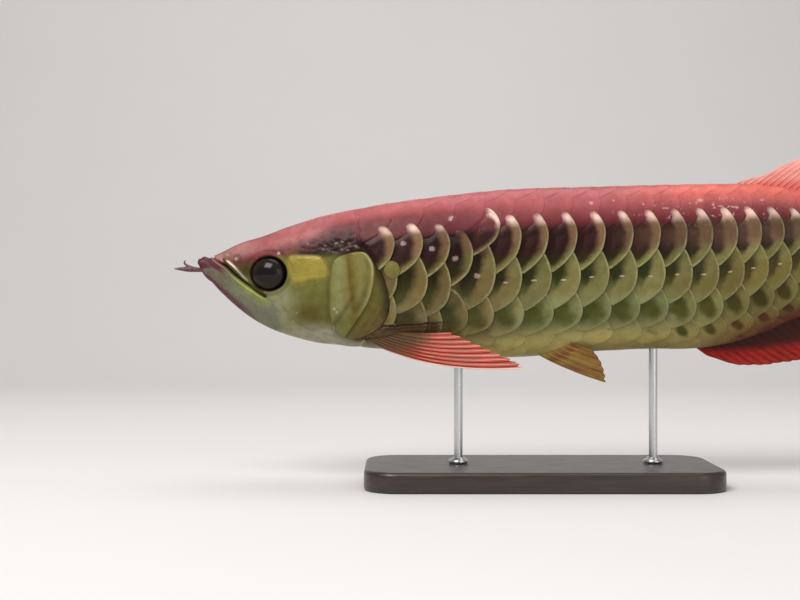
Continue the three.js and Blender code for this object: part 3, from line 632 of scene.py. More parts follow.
def barbel_finish(name, c):
    finish = Finish(name, Coat_Weight=0.3, Coat_Roughness=0.2)
    soft = finish.noise(1.6, 3)
    finish.set("Base Color", finish.mix(finish.span(soft, 0.35, 0.7, 0, 0.7), c.chin, c.umber))
    finish.set("Roughness", finish.span(soft, 0.3, 0.7, 0.35, 0.55))
    rings = finish.math("SINE", finish.math("MULTIPLY", finish.number("along"), 190))
    finish.set("Normal", finish.bump(rings, 0.05, 0.5))
    return finish.material


def eye_finish(name):
    """A dark eye with a black pupil, a thin bright ring and a brown iris under a wet cornea."""
    finish = Finish(name, Coat_Weight=0.3, Coat_Roughness=0.15, Specular_IOR_Level=0.05)
    out = finish.number("ring")
    streaks = finish.noise(1.2, 4)
    iris = finish.mix(finish.span(streaks, 0.35, 0.7), linear(22, 17, 14), linear(40, 31, 25))
    tint = finish.mix(finish.span(out, 0.48, 0.66), linear(22, 19, 17), iris)
    gold = finish.math("MULTIPLY", finish.span(out, 0.5, 0.56), finish.span(out, 0.56, 0.64, 1, 0))
    tint = finish.mix(finish.math("MULTIPLY", gold, 0.1), tint, linear(70, 50, 32))
    tint = finish.mix(finish.span(out, 0.84, 0.95), tint, linear(12, 9, 7))
    finish.set("Base Color", tint)
    finish.set("Roughness", finish.span(out, 0.5, 0.9, 0.12, 0.3))
    return finish.material


def wood_finish(name, c):
    finish = Finish(name, Coat_Weight=0.25, Coat_Roughness=0.25)
    grain = finish.noise(3, 6, (14, 1, 1), 0.65)
    fine = finish.noise(0.8, 3, (22, 1, 1))
    dark, light = 0.5 * tint(c.wood), 1.7 * tint(c.wood)
    finish.set("Base Color", finish.ramp(grain, [(0.3, dark), (0.7, light)]))
    finish.set("Roughness", finish.span(fine, 0.3, 0.7, 0.3, 0.48))
    finish.set("Normal", finish.bump(finish.math("ADD", grain, fine), 0.12, 0.35))
    return finish.material


def steel_finish(name):
    finish = Finish(name, Metallic=1.0)
    brushed = finish.noise(0.5, 3, (1, 1, 40))
    finish.set("Base Color", finish.mix(brushed, (0.5, 0.51, 0.53), (0.72, 0.73, 0.74)))
    finish.set("Roughness", finish.span(brushed, 0.3, 0.7, 0.2, 0.34))
    finish.set("Normal", finish.bump(brushed, 0.03, 0.3))
    return finish.material


def floor_finish(name, c):
    finish = Finish(name, Roughness=0.7)
    finish.set("Base Color", finish.mix(finish.noise(240, 2), c.floor, 0.96 * tint(c.floor)))
    return finish.material


def tint(colour_value):
    return np.array(colour_value[:3])


def mixed(first, second, share):
    """Two colours mixed, with this share of the second."""
    return (1 - share) * tint(first) + share * tint(second)


# Skin of the head and body

COVER_OUTLINE = loop_through([*COVER_HIND_EDGE, *COVER_FRONT_EDGE], 72)
SCALE_BED = 0.9  # how far the skin lies under the scales' lattice
COVER_BED = 2.2  # and under the gill covers
FRONT_NOSTRIL = (17.2, 9.6)
HIND_NOSTRIL = (22.9, 7.2)


def head_masks(x, z):
    """Distances and masks on the side of the head, which the relief and the paint share."""
    mouth, gone = beside_path(x, z, path_through(MOUTH_LINE, 60))
    eye = np.hypot((x - EYE_STATION) / (EYE_LONG * math.cos(EYE_TURN)), (z - EYE_HEIGHT) / EYE_TALL)
    upper = inside_outline(x, z, loop_through(UPPER_CHEEK_PLATE, 40))
    lower = inside_outline(x, z, loop_through(LOWER_CHEEK_PLATE, 40))
    cover = inside_outline(x, z, COVER_OUTLINE)
    hind, _ = beside_path(x, z, HEAD_HIND_EDGE)
    jaw, jaw_gone = beside_path(x, z, path_through(JAW_HIND_EDGE, 20))
    maxilla = inside_outline(x, z, loop_through(UPPER_JAW_PLATE, 40))
    return dict(
        mouth=mouth, gone=gone, eye=eye, upper=upper, lower=lower, cover=cover, hind=hind, jaw=jaw,
        jaw_gone=jaw_gone, maxilla=maxilla,
    )


def head_relief(x, z, sizes, masks):
    """How far the skin stands out of the plain body, in millimetres."""
    mouth, gone, eye = masks["mouth"], masks["gone"], masks["eye"]
    lip, gap = sizes.lip / MM, sizes.mouth_gap / MM
    near = (x < 60).astype(float)
    shut = near * (1 - step(0.95, 1.0, gone))
    lobe = step(20, 13, x)
    relief = -gap * shut * np.exp(-((mouth - 0.4) / 0.75) ** 4) * (0.35 + 0.65 * step(8, 16, x))
    relief += 0.7 * lip * shut * ridge(mouth, -1.0, 0.7) * step(7, 13, x)
    chin = np.maximum(step(-4.8, -3.2, mouth), step(8, 5, x))
    relief += 0.6 * lip * shut * lobe * step(0.2, -0.8, mouth) * chin
    relief -= 1.2 * step(5.5, 8.4, z) * (step(2.6, 0.2, x) + step(3.0, 6.2, x) * step(7.6, 6.6, x))
    relief -= 0.35 * shut * ridge(mouth, -4.6, 1.1) * step(0.35, 0.6, gone)
    relief += 0.6 * step(-0.1, 0.7, masks["maxilla"]) - 0.3 * ridge(masks["maxilla"], -0.6, 0.6)
    lines = step(-6.5, -2.5, -z) * step(0.5, 2, masks["upper"])
    relief += 0.1 * lines * np.sin(4.4 * z + 0.7 * x)
    relief += 0.07 * step(1, 4, masks["lower"]) * np.sin(3.1 * z - 1.2 * x)
    hinge = step(0.0, 0.15, masks["jaw_gone"]) * step(0.85, 0.5, masks["jaw_gone"])
    relief -= 0.4 * near * ridge(masks["jaw"], 0, 0.8) * hinge
    relief -= 4.6 * (1 - step(EYE_RADIUS - 0.6, EYE_RADIUS + 0.7, eye))
    relief += 0.75 * ridge(eye, EYE_RADIUS + 1.5, 0.8)
    relief -= 0.4 * ridge(eye, EYE_RADIUS + 3.3, 1.0)
    relief += 0.3 * step(-0.8, 2.2, masks["upper"]) - 0.12 * ridge(masks["upper"], -0.6, 0.7)
    relief += 0.25 * step(-0.5, 1.8, masks["lower"]) - 0.12 * ridge(masks["lower"], -0.3, 0.8)
    for station, height in (FRONT_NOSTRIL, HIND_NOSTRIL):
        away = np.hypot(x - station, z - height)
        relief += 0.6 * ridge(away, 0, 0.8) - 0.25 * ridge(away, 2.1, 0.7)
    throat = step(-33, -38, z) * step(50, 62, x) * step(100, 92, x)
    relief += 0.25 * throat * np.sin((z + 0.32 * x) * 1.5)
    relief -= COVER_BED * step(-0.4, 0.8, masks["cover"] - 1.2 * step(90, 83, x))
    opening = step(100, 104, x) * step(-46, -38, z) * step(24, 12, z)
    relief -= 1.2 * opening * ridge(masks["cover"], -1.0, 1.8) * (masks["cover"] < 0.2)
    nape = step(15, 22, z)
    relief -= SCALE_BED * (nape * step(2, 12, masks["hind"]) + (1 - nape) * step(-0.5, 3.5, masks["hind"]))
    return relief


def head_pits(x, z):
    """Depth of the sensory pores and the pitted bone above the gill cover, from a seeded draw."""
    draw = np.random.default_rng(7)
    depth = np.zeros_like(x)
    for _ in range(48):
        station, height = draw.normal(84, 10), draw.normal(15, 3)
        size, slant, strength = draw.uniform(0.4, 1.2), draw.uniform(-0.8, 0.8), draw.uniform(0.12, 0.4)
        right, up = x - station, z - height - 0.1 * (station - 84)
        depth += strength * ridge(np.hypot(0.6 * (right + slant * up), up), 0, size) * step(9, 11, z)
    depth = np.minimum(depth, 0.5)
    for share in np.linspace(0, 1, 8):
        station, height = 49 + 27 * share, -20 - 14 * math.sin(share * 2.2)
        depth += 0.4 * ridge(np.hypot(x - station, z - height), 0, 0.55)
    for share in np.linspace(0, 1, 6):
        station, height = 12 + 30 * share, -9.5 - 19 * share
        depth += 0.4 * ridge(np.hypot(x - station, z - height), 0, 0.5)
    return depth


def head_sparks(x, z):
    """Small painted glints on the head, from a seeded draw."""
    draw = np.random.default_rng(21)
    sparks = 0.9 * ridge(np.hypot(x - 48.6, z - 10.6), 0, 0.75)
    for _ in range(18):
        station, height, size = draw.normal(84, 11), draw.normal(14.5, 2.6), draw.uniform(0.25, 0.5)
        bright, slant = draw.uniform(0.15, 0.55) * (height > 10.5), draw.uniform(-1, 1)
        away = np.hypot(0.6 * (x - station + slant * (z - height)), z - height)
        sparks = np.maximum(sparks, bright * ridge(away, 0, size))
    for _ in range(8):
        station, height, size = draw.uniform(12, 74), draw.uniform(-30, 20), draw.uniform(0.3, 0.45)
        sparks = np.maximum(sparks, 0.35 * ridge(np.hypot(x - station, z - height), 0, size))
    return sparks


def blend(base, other, share):
    share = np.clip(share, 0, 1)[..., None]
    return base * (1 - share) + tint(other) * share


def skin_paint(x, z, rise, pits, c, masks):
    """The skin's colours: rise goes from -1 at the belly to 1 at the back."""
    mouth, gone, eye = masks["mouth"], masks["gone"], masks["eye"]
    depth = section(x)[1] * (1 - rise)
    near = step(62, 52, x)
    paint = np.broadcast_to(tint(c.cheek), (*x.shape, 3)).copy()

    def lay(other, share):
        nonlocal paint
        paint = blend(paint, other, share)

    lay(c.throat, 0.65 * ridge(x, 50, 9) * step(-6, -16, z))
    brown = ridge(np.hypot(x - 67, 1.3 * (z + 25)), 0, 11)
    lay(c.bronze, 0.5 * brown)
    lay(c.umber, 0.35 * brown * brown)
    lay(c.throat, step(-28, -37, z) * step(45, 60, x))
    hat = 5 + 0.11 * x
    row = np.interp(np.degrees(np.arccos(np.clip(rise, -1, 1))), ROW_ANGLES, range(LAST_ROW + 1))
    scaled = centre_colours(row, x, c)
    nape = (step(74, 94, x) * step(2.0, 1.6, row))[..., None]
    dark_from = hat - 7 * step(66, 90, x)
    lay(c.temple, step(hat + 15, hat + 9, depth) * step(54, 64, x))
    lay(c.maroon, step(dark_from + 10, dark_from + 3, depth) * (1 - 0.5 * step(54, 62, x)))
    lay(c.crown, step(dark_from + 4, dark_from - 4, depth))
    paint = paint * (1 - nape) + scaled * nape
    lay(c.temple, 0.75 * step(70, 84, x) * ridge(depth, hat + 5, 6))
    lay(0.6 * tint(c.maroon), 0.6 * step(66, 84, x) * ridge(depth, hat - 2, 5))
    lay(0.5 * tint(c.umber), 0.5 * step(76, 88, x) * ridge(depth, hat + 4, 4))
    dusty = step(hat + 6, hat - 3, depth) * (mouth > 0)
    lay(c.maroon, 0.3 * ridge(x, 37, 9) * dusty)
    lay(mixed(c.throat, c.cream, 0.5), 0.28 * step(42, 18, x) * dusty)
    lay(c.chin, 0.25 * step(40, 14, x) * step(hat + 18, hat + 2, depth) * (mouth > 0))
    lay(c.maroon, 0.5 * step(2.0, 0.3, depth) * step(70, 50, x))
    lay(c.temple, 0.7 * ridge(np.hypot(x - 29, 1.2 * (z - 0.5)), 0, 7) * (mouth > 0))
    lay(c.umber, 1.6 * np.clip(pits, 0, 1) * (z > 5))
    below = near * (mouth < 0) * step(52, 44, x)
    lay(c.jaw, below)
    lay(c.chin, 0.3 * below * step(24, 10, x))
    lay(c.lip, 0.3 * below * step(-7, -2, mouth) * step(18, 30, x))
    under = -0.45 - 0.008 * x
    lay(c.chin, 0.9 * below * step(under, under - 0.22, rise) * step(38, 24, x))
    shut = (x < 60) * (1 - step(0.95, 1.0, gone))
    # The maxilla's dark green also stands for the shadow over its lower part, and the streak along its upper
    # edge is a painted highlight.
    maxilla = step(-0.6, 0.3, masks["maxilla"])
    lay(c.moss, 0.85 * maxilla)
    streak, _ = beside_path(x, z, path_through(UPPER_JAW_PLATE[:5], 20))
    bright = (1 - 0.7 * step(21, 25, x)) * step(16, 18, x) * step(32, 28, x)
    lay(c.rim, 0.7 * bright * ridge(streak, -0.4, 0.8))
    lay((0.9, 0.86, 0.7), bright * ridge(streak, -0.4, 0.4))
    lay(c.lip, 0.6 * shut * step(15, 26, x) * ridge(mouth, -1.0, 0.6))
    lay(c.lip, shut * step(18, 28, x) * ridge(mouth, -0.8, 0.3))
    lobe = shut * step(17, 12, x) * step(-4.8, -3.4, mouth) * step(0.9, 0.2, mouth)
    lay(c.chin, np.maximum(lobe, near * step(9, 4, x) * step(1.5, 0.5, mouth) * (z > 2)))
    # A painted pink highlight along the lower lip near the chin.
    inner = shut * step(19, 15, x) * step(5, 8, x) * ridge(mouth, -0.5, 0.5)
    lay(c.back, 0.7 * inner)
    lay(c.throat, 0.4 * inner)
    # Painted shade in the gap of the closed mouth.
    lay(c.umber, 0.95 * shut * ridge(mouth, 0.6, 0.8) * (0.3 + 0.7 * step(11, 18, x)))
    lay(c.umber, 0.9 * step(EYE_RADIUS + 1.6, EYE_RADIUS + 0.2, eye))
    golden = step(-1.6, 2.0, masks["upper"])
    lay(c.plate, golden * (0.82 - 0.25 * ridge(np.hypot(x - 60, z - 5), 0, 5)))
    streaks = 0.5 + 0.5 * np.sin(3.4 * z + 0.9 * x + 1.3 * np.sin(0.5 * x))
    lay(c.fin_gold, 0.5 * golden * streaks * step(0.5, -3.5, z))
    lay(c.lip, 0.25 * ridge(z + 3.6 - 0.08 * (x - 66), 0, 0.5) * step(0, 1, masks["upper"]))
    lay(c.bronze, 0.3 * ridge(masks["upper"], 0, 0.5) + 0.2 * ridge(masks["lower"], 0, 0.7))
    for (station, height), bright in ((FRONT_NOSTRIL, 0.25), (HIND_NOSTRIL, 0.5)):
        away = np.hypot(x - station, z - height)
        lay(c.temple, 0.5 * ridge(away, 2.0, 1.2) * (bright + 0.2))
        lay(c.cream, bright * ridge(away, 0, 0.9))
    # Painted shade on the skin round the gill cover's edge, strongest behind it.
    fold = step(-3.0, -0.5, masks["cover"]) * step(0.6, 0.2, masks["cover"])
    lay(c.umber, 0.85 * fold * (0.35 + 0.65 * step(88, 98, x)))
    trunk = step(-1, 4, masks["hind"])
    body = blend(scaled, c.belly, step(-0.6, -0.9, rise))
    body = blend(body, c.rust, step(-0.1, -0.8, rise) * step(300, 400, x))
    body = blend(body, c.rust, 0.8 * step(425, 446, x))
    return paint * (1 - trunk[..., None]) + body * trunk[..., None]


class AROWANA_OT_skin(bpy.types.Operator):
    """Model one skin from the jaw tip to the tail, with the mouth, nostrils and cheek plates"""

    bl_idname = "arowana.skin"
    bl_label = "Skin"

    def execute(self, context):
        sizes, colours = settings(context)
        sides = 300
        tail = TAIL_END + 3
        stations = np.concatenate([
            np.linspace(0, 57, 160), np.arange(57.7, 120, 0.75), np.arange(122, tail, 4.0), [tail]
        ])
        turn = (np.arange(sides) + 0.5) * 2 * math.pi / sides
        station, angle = np.meshgrid(stations, turn, indexing="ij")
        plain = skin(station, angle)
        x, z = plain[..., 0], plain[..., 2]
        masks = head_masks(x, z)
        pits = head_pits(x, z)
        rings = lifted(station, angle, head_relief(x, z, sizes, masks) - pits)
        centre = np.stack([stations, np.zeros(len(stations)), section(stations)[0]], -1)[:, None]
        domes = [(math.sqrt(1 - t * t), t) for t in (0.97, 0.85, 0.6, 0.3)]
        front = [centre[0] + (rings[0] - centre[0]) * size - [1.1 * t, 0, 0] for size, t in domes]
        rear = [centre[-1] + (rings[-1] - centre[-1]) * [1, 0.25, 0.97] + [1.5, 0, 0]]
        rings = np.concatenate([front, rings, rear])
        rows = len(rings)
        hubs = np.stack([rings[0].mean(0), rings[-1].mean(0)])
        points = swim(np.concatenate([rings.reshape(-1, 3), hubs]))

        rise = np.cos(angle)
        paint = skin_paint(x, z, rise, pits, colours, masks)
        shine = 0.6 * step(-0.5, 1, masks["upper"]) + 0.4 * step(0, 1.0, masks["lower"]) * (masks["hind"] < 0)

        def whole(grid):
            """The grid with its first and last row repeated for the rounded ends and their middles."""
            ends = np.concatenate([[grid[0]] * len(front), grid, [grid[-1]] * len(rear)])
            ends = ends.reshape(rows * sides, -1)
            return np.concatenate([ends, ends[:1], ends[-1:]])

        numbers = {"shine": whole(shine), "spark": whole(head_sparks(x, z))}

        r, c = np.divmod(np.arange((rows - 1) * sides), sides)
        u = np.linspace(0.02, 0.98, rows)
        corner_u = np.stack([u[r], u[r], u[r + 1], u[r + 1]], -1)
        corner_v = np.stack([c, c + 1, c + 1, c], -1) / sides
        quad_uv = np.stack([corner_u, corner_v], -1).reshape(-1, 2)
        cap_uv = []
        for k in range(sides):
            low, high = k / sides, (k + 1) / sides
            cap_uv += [(0.001, (low + high) / 2), (0.019, high), (0.019, low)]
            cap_uv += [(0.999, (low + high) / 2), (0.981, low), (0.981, high)]
        faces = closed_tube(rows, sides)
        uv = np.concatenate([quad_uv, cap_uv])
        piece = make_piece("body_skin", points, faces, numbers, {"paint": whole(paint)}, uv)
        finish_piece(
            piece, "head_skin", skin_finish("wet skin"),
            "head", "lower_jaw", "trunk_front", "trunk_middle", "tail_stalk",
        )
        return {"FINISHED"}


# Scales

# A scale's outline about its hindmost point, in columns and rows. It runs from the heel down the
# free edge to the heel of the scale below and ahead, forward under the scales ahead, and back up.
SCALE_OUTLINE = [
    (0, -0.06), (-0.06, 0.19), (-0.21, 0.44), (-0.44, 0.62), (-0.68, 0.76), (-1.02, 0.9), (-1.36, 0.86),
    (-1.6, 0.5), (-1.68, 0.0), (-1.55, -0.45), (-1.15, -0.74), (-0.76, -0.82), (-0.48, -0.78),
    (-0.28, -0.67), (-0.14, -0.49), (-0.04, -0.28),
]
BACK_OUTLINE = [
    (0, 0), (-0.07, 0.22), (-0.24, 0.44), (-0.44, 0.59), (-0.68, 0.72), (-1.02, 0.85), (-1.36, 0.7),
    (-1.62, 0.35),
]
BELLY_OUTLINE = [
    (0, 0), (-0.03, 0.2), (-0.08, 0.38), (-0.24, 0.58), (-0.6, 0.78), (-1.1, 0.82), (-1.5, 0.5),
]
SCALE_CENTRE = (-0.74, 0.04)
ROW_DROP = 0.45  # share of the step by which each row lies under the one above

KNOB_OUTLINE = [
    (0, 0), (-0.07, 0.17), (-0.24, 0.24), (-0.41, 0.17), (-0.5, 0), (-0.41, -0.17), (-0.24, -0.24),
    (-0.07, -0.17),
]

# How far each row's free edge stands over the skin's plain surface, and the share of a full step
ROW_LIFT = [0.6, 0.55, 1.35, 1.25, 1.1, 0.85, 0.7, 0.6]
ROW_RISE = [0.1, 0.12, 1.0, 1.0, 0.8, 0.5, 0.32, 0.25]
ROW_RIM = [0.0, 0.0, 0.5, 0.65, 0.4, 0.18, 0.08, 0.0]  # strength of each row's bright rim

# Widths of the pale band along the free edge of rows 2 and 3, by place down the scale
BAND_PLACES = [-0.68, -0.5, -0.25, 0.05, 0.25, 0.42]
BAND_WIDTHS = {2: [0.1, 0.23, 0.29, 0.27, 0.21, 0.13], 3: [0.1, 0.26, 0.42, 0.55, 0.64, 0.6]}
SHOULDER_BAND = [0.08, 0.22, 0.36, 0.42, 0.4, 0.28]
# Half length and half height of the dark ovals in the rows below
OVALS = {4: (0.44, 0.54), 5: (0.3, 0.42), 6: (0.26, 0.3), 7: (0.1, 0.1)}

# Scales of the shoulder that stand off the lattice: (column, row): (back, down, size, stretch down)
SHOULDER_SCALES = {
    (1, 2): (-0.12, 0.02, 1.0, 1.0),
    (2, 2): (-0.25, 0.12, 0.97, 1.0),
    (3, 2): (0.44, -0.34, 0.95, 0.88),
    (4, 2): (0.08, 0.0, 1.0, 1.0),
    (1, 3): (-0.06, 0.04, 1.0, 1.1),
    (2, 3): (-0.33, 0.15, 1.0, 1.15),
    (3, 3): (0.15, -0.18, 1.0, 1.15),
    (0, 4): (-0.1, -0.05, 1.0, 1.35),
    (1, 4): (-0.17, 0.3, 1.0, 1.45),
    (2, 4): (0.15, 0.1, 1.0, 1.1),
}
# More of them where the rows part: (column, row, size, stretch down)
EXTRA_SCALES = [(2.48, 2.4, 0.95, 1.0), (1.42, 4.4, 0.85, 1.5)]
KNOB_SCALE = (0.1, 2.7, 1.0, 1.0)  # the small round one behind the gill cover


def trunk_surface(column, row, side, height):
    """Points of the trunk by column and row. A row under 0 or over the last is the other side's."""
    over = np.where(row < 0, -row, np.where(row > LAST_ROW, 2 * LAST_ROW - row, row))
    angle = row_angle(over)
    angle = np.where(row < 0, -angle, np.where(row > LAST_ROW, 2 * math.pi - angle, angle))
    shrink = (FIRST_SPACING - LAST_SPACING) / (STANDARD_LENGTH - SCALES_FROM)
    on_back = SCALES_FROM + (FIRST_SPACING / shrink) * (1 - np.exp(-shrink * column))
    station = np.minimum(on_back + over * row_lean(on_back), TAIL_END + 6)
    plain = skin(station, angle)
    hind, _ = beside_path(plain[..., 0], plain[..., 2], HEAD_HIND_EDGE)
    height = height - 3.2 * step(2.5, -5.0, hind) - 0.55 * step(30, 3, hind) * step(1.9, 1.2, over)
    return swim(lifted(station, -side * angle, height)), station, over


PLATE_SECTORS = 50
PLATE_RINGS = [0.34, 0.56, 0.68, 0.77, 0.85, 0.92, 0.97, 1.0]
UNDER_RINGS = [1.0, 0.9, 0.5]


def scale_patch(outline, centre, thick, size, stretch):
    """One scale's points in columns and rows about its hindmost point, with heights and edge distances."""
    fine = loop_through(outline, 8 * PLATE_SECTORS)
    gone = np.cumsum(np.where(fine[:, 0] > -0.7, 1.0, 0.3))  # corners lie closer on the part that shows
    picked = np.searchsorted(gone, np.linspace(gone[0], gone[-1], PLATE_SECTORS, endpoint=False))
    rim = centre + (fine[picked] - centre) * size * np.array([1, stretch])
    reach = np.hypot(*(rim - centre).T)
    roll = 0.8 * thick
    local, heights, edges = [[centre]], [[0.0]], [[reach.mean()]]
    for share in PLATE_RINGS:
        local.append(centre + (rim - centre) * share)
        bead = 0.3 * thick * ridge(share, 0.93, 0.04)
        heights.append(np.full(PLATE_SECTORS, bead - roll * step(0.93, 1.0, share)))
        edges.append((1 - share) * reach)
    for share in UNDER_RINGS:
        local.append(centre + (rim - centre) * share)
        heights.append(np.full(PLATE_SECTORS, -roll - thick * (0.4 + 0.6 * (1 - share))))
        edges.append((1 - share) * reach)
    local.append([centre])
    heights.append([-roll - thick])
    edges.append([reach.mean()])
    return np.concatenate(local), np.concatenate(heights), np.concatenate(edges)


def plate_faces():
    """The faces of a scale and the corners that its upper and lower face take in its unwrap."""
    faces, lower = [], []
    rings = len(PLATE_RINGS) + len(UNDER_RINGS)
    last = 1 + (rings - 1) * PLATE_SECTORS
    for k in range(PLATE_SECTORS):
        n = (k + 1) % PLATE_SECTORS
        faces.append((0, 1 + n, 1 + k))
        lower.append(False)
        for ring in range(rings - 1):
            a = 1 + ring * PLATE_SECTORS
            faces.append((a + k, a + n, a + PLATE_SECTORS + n, a + PLATE_SECTORS + k))
            lower.append(ring >= len(PLATE_RINGS) - 1)
        faces.append((last + k, last + n, last + PLATE_SECTORS))
        lower.append(True)
    return faces, lower


def scale_uv(local, faces, lower, column, row, columns, rows):
    """Each scale's own cell of an unwrap by column and row. Its underside is a strip of the cell."""
    low, high = local.min(0), local.max(0)
    share = 0.03 + 0.94 * (local - low) / (high - low)
    corners = []
    for face, under in zip(faces, lower):
        for point in face:
            u, v = share[point]
            corners.append((column + u, row + (0.12 * v if under else 0.14 + 0.84 * v)))
    return np.array(corners) / [columns, rows]


def along_rows(row, *stops):
    """A colour for each row number, from pairs of a row and a colour."""
    places = [place for place, _ in stops]
    paints = np.array([tint(paint) for _, paint in stops])
    return np.stack([np.interp(row, places, paints[:, k]) for k in range(3)], -1)


def scale_shade(u, v):
    """Painted shade on a scale close to the free edges of the scale ahead and the one above, which lie over
    it.
    """
    outline = loop_through(SCALE_OUTLINE, 30)
    past = np.minimum(-inside_outline(u + 1, v, outline), -inside_outline(u, v + 1, outline))
    return 0.62 + 0.38 * step(0.0, 0.3, past)


def centre_colours(row, station, c):
    """Colour of the scales' dark centres by row. The back is darker at the shoulder."""
    # Rows 0 to 0.95 take the back's colour, which holds painted pink light from above as well as the fish's
    # own red.
    core = along_rows(
        row, (0, c.back), (0.95, c.back), (1.6, c.maroon), (1.85, c.umber), (2.4, c.umber), (2.75, c.moss),
        (3.05, c.moss), (3.5, c.fern), (5.2, c.fern), (7, c.olive),
    )
    front = step(200, 125, station) * step(68, 98, station)
    core = blend(core, c.maroon, 0.8 * front * step(0.7, 1.25, row) * step(1.9, 1.4, row))
    return blend(core, c.umber, 0.15 * front * step(0.9, 1.4, row) * step(1.9, 1.5, row))


def pectoral_fold(station, height):
    """Distance above the fold over the pectoral fin's root, whose crease the scales paint dark as painted
    shade, and where that fold shows.
    """
    return height + 32.5 - 0.065 * (station - 110), step(97, 101, station) * step(153, 138, station)


def past_tip(u, v, station):
    """Distance out of the round upper tip of a scale in row 2, which stands up like a finger."""
    away = np.hypot(u + 0.275 - 0.35 * (v + 0.5), 1.3 * np.minimum(v + 0.5, 0))
    return away - 0.12 - 0.07 * step(250, 310, station)


def scale_paints(plate_row, row, station, height, u, v, edge, tone, c):
    """The colours of a scale's centre and band, with painted highlight on the upper tips of row 2 and painted
    shade beside the scales that lie over it, and how far each point lies inside the centre.
    """
    core = centre_colours(row, station, c)
    # Rows 1.3 to 1.54 fall on the upper tips of row 2's scales; their cream band is a painted highlight of
    # the light from above.
    band = along_rows(
        row, (1.3, c.cream), (1.54, c.cream), (1.76, c.tan), (2.25, c.tan), (2.55, c.olive), (3.4, c.olive),
        (3.8, c.sage), (4.5, c.sage), (5.2, c.belly), (7, c.belly),
    )
    rear = step(255, 335, station)
    brown = step(225, 290, station) * step(1.75, 1.95, row)
    shoulder = step(205, 165, station) * step(2.1, 2.9, row) * step(5.2, 4.5, row)
    low_rear = step(4.2, 6.0, row) * step(282, 345, station)
    low_front = step(160, 118, station) * step(4.8, 5.6, row)
    core = blend(core, c.salmon, 0.8 * step(230, 310, station) * step(1.3, 0.6, row))
    core = blend(core, c.tan, 0.4 * brown * step(2.5, 2.2, row))
    band = blend(band, 0.5 * tint(c.tan), 0.4 * brown * step(2.5, 2.2, row))
    core = blend(core, 0.42 * tint(c.bronze), 0.95 * rear * step(2.4, 3.2, row))
    core = blend(core, c.umber, 0.45 * shoulder)
    band = blend(band, c.bronze, 0.6 * rear * step(2.2, 3.2, row))
    band = blend(band, c.clay, 0.75 * shoulder)
    band = blend(band, c.bronze, 0.45 * ridge(row, 6.4, 1.1) * step(215, 265, station))
    band = blend(band, 0.6 * tint(c.bronze), 0.6 * step(285, 345, station) * step(4.4, 5.6, row))
    core, band = blend(core, c.throat, low_front), blend(band, c.throat, 0.8 * low_front)
    core, band = blend(core, c.rust, low_rear), blend(band, c.rust, 0.85 * low_rear)
    kind = round(plate_row)
    shade = (0.92 + (0.16 if kind > 1 else 0.05) * tone) * np.ones_like(u)
    if kind <= 1:
        band = core * 1.1
        inside = edge - 0.3
    elif kind <= 3:
        width = np.interp(v, BAND_PLACES, BAND_WIDTHS[kind])
        if kind == 3:
            narrow = np.interp(v, BAND_PLACES, SHOULDER_BAND)
            width = width + (narrow - width) * step(178, 152, station)
        if kind == 2:
            width = width * (1 + 1.1 * step(250, 310, station) * step(-0.6, -0.2, v))
        slim = 1.5 < plate_row < 1.8
        if slim:
            width = width * (0.3 + 0.4 * step(-0.05, -0.3, v))
        inside = edge - width
        if kind == 2:
            out = past_tip(u - 0.06 * slim, v, station) + 0.02 * slim
            inside = np.maximum(inside, 0.9 * out - 3 * step(-0.42, -0.1, v))
        else:
            inside = 0.65 * inside
    else:
        far = step(240, 300, station)
        long, tall = OVALS[kind][0] * (1 - 0.3 * far), OVALS[kind][1] * (1 - 0.12 * far)
        shown = {4: 1, 5: step(225, 290, station), 6: step(265, 330, station), 7: 0}[kind]
        away = np.hypot((u + 0.72 - 0.1 * far - 0.2 * v) / long, v / tall)
        inside = (0.2 + 0.12 * far) * (1 - away) - 0.5 * (1 - shown)
        inside = np.where(edge < 0.12, np.minimum(inside, -0.1), inside)
    # Painted shade beside the free edges of the scales that lie over this one.
    if kind > 1:
        strength = np.interp(plate_row, [2, 4, 5, 7], [1, 0.9, 0.4, 0.2])
        if kind == 2:
            strength = strength * step(-0.5, -0.1, v)
        shade = shade * (1 - (1 - scale_shade(u, v)) * strength)
    shade = shade[..., None]
    core, band = core * shade, band * shade
    fold, shown = pectoral_fold(station, height)
    below = 0.9 * step(0.5, -1.5, fold) * step(-13, -7, fold) * shown
    earth = mixed(c.clay, c.fin_root, 0.75)
    return blend(core, earth, below), blend(band, earth, below), inside


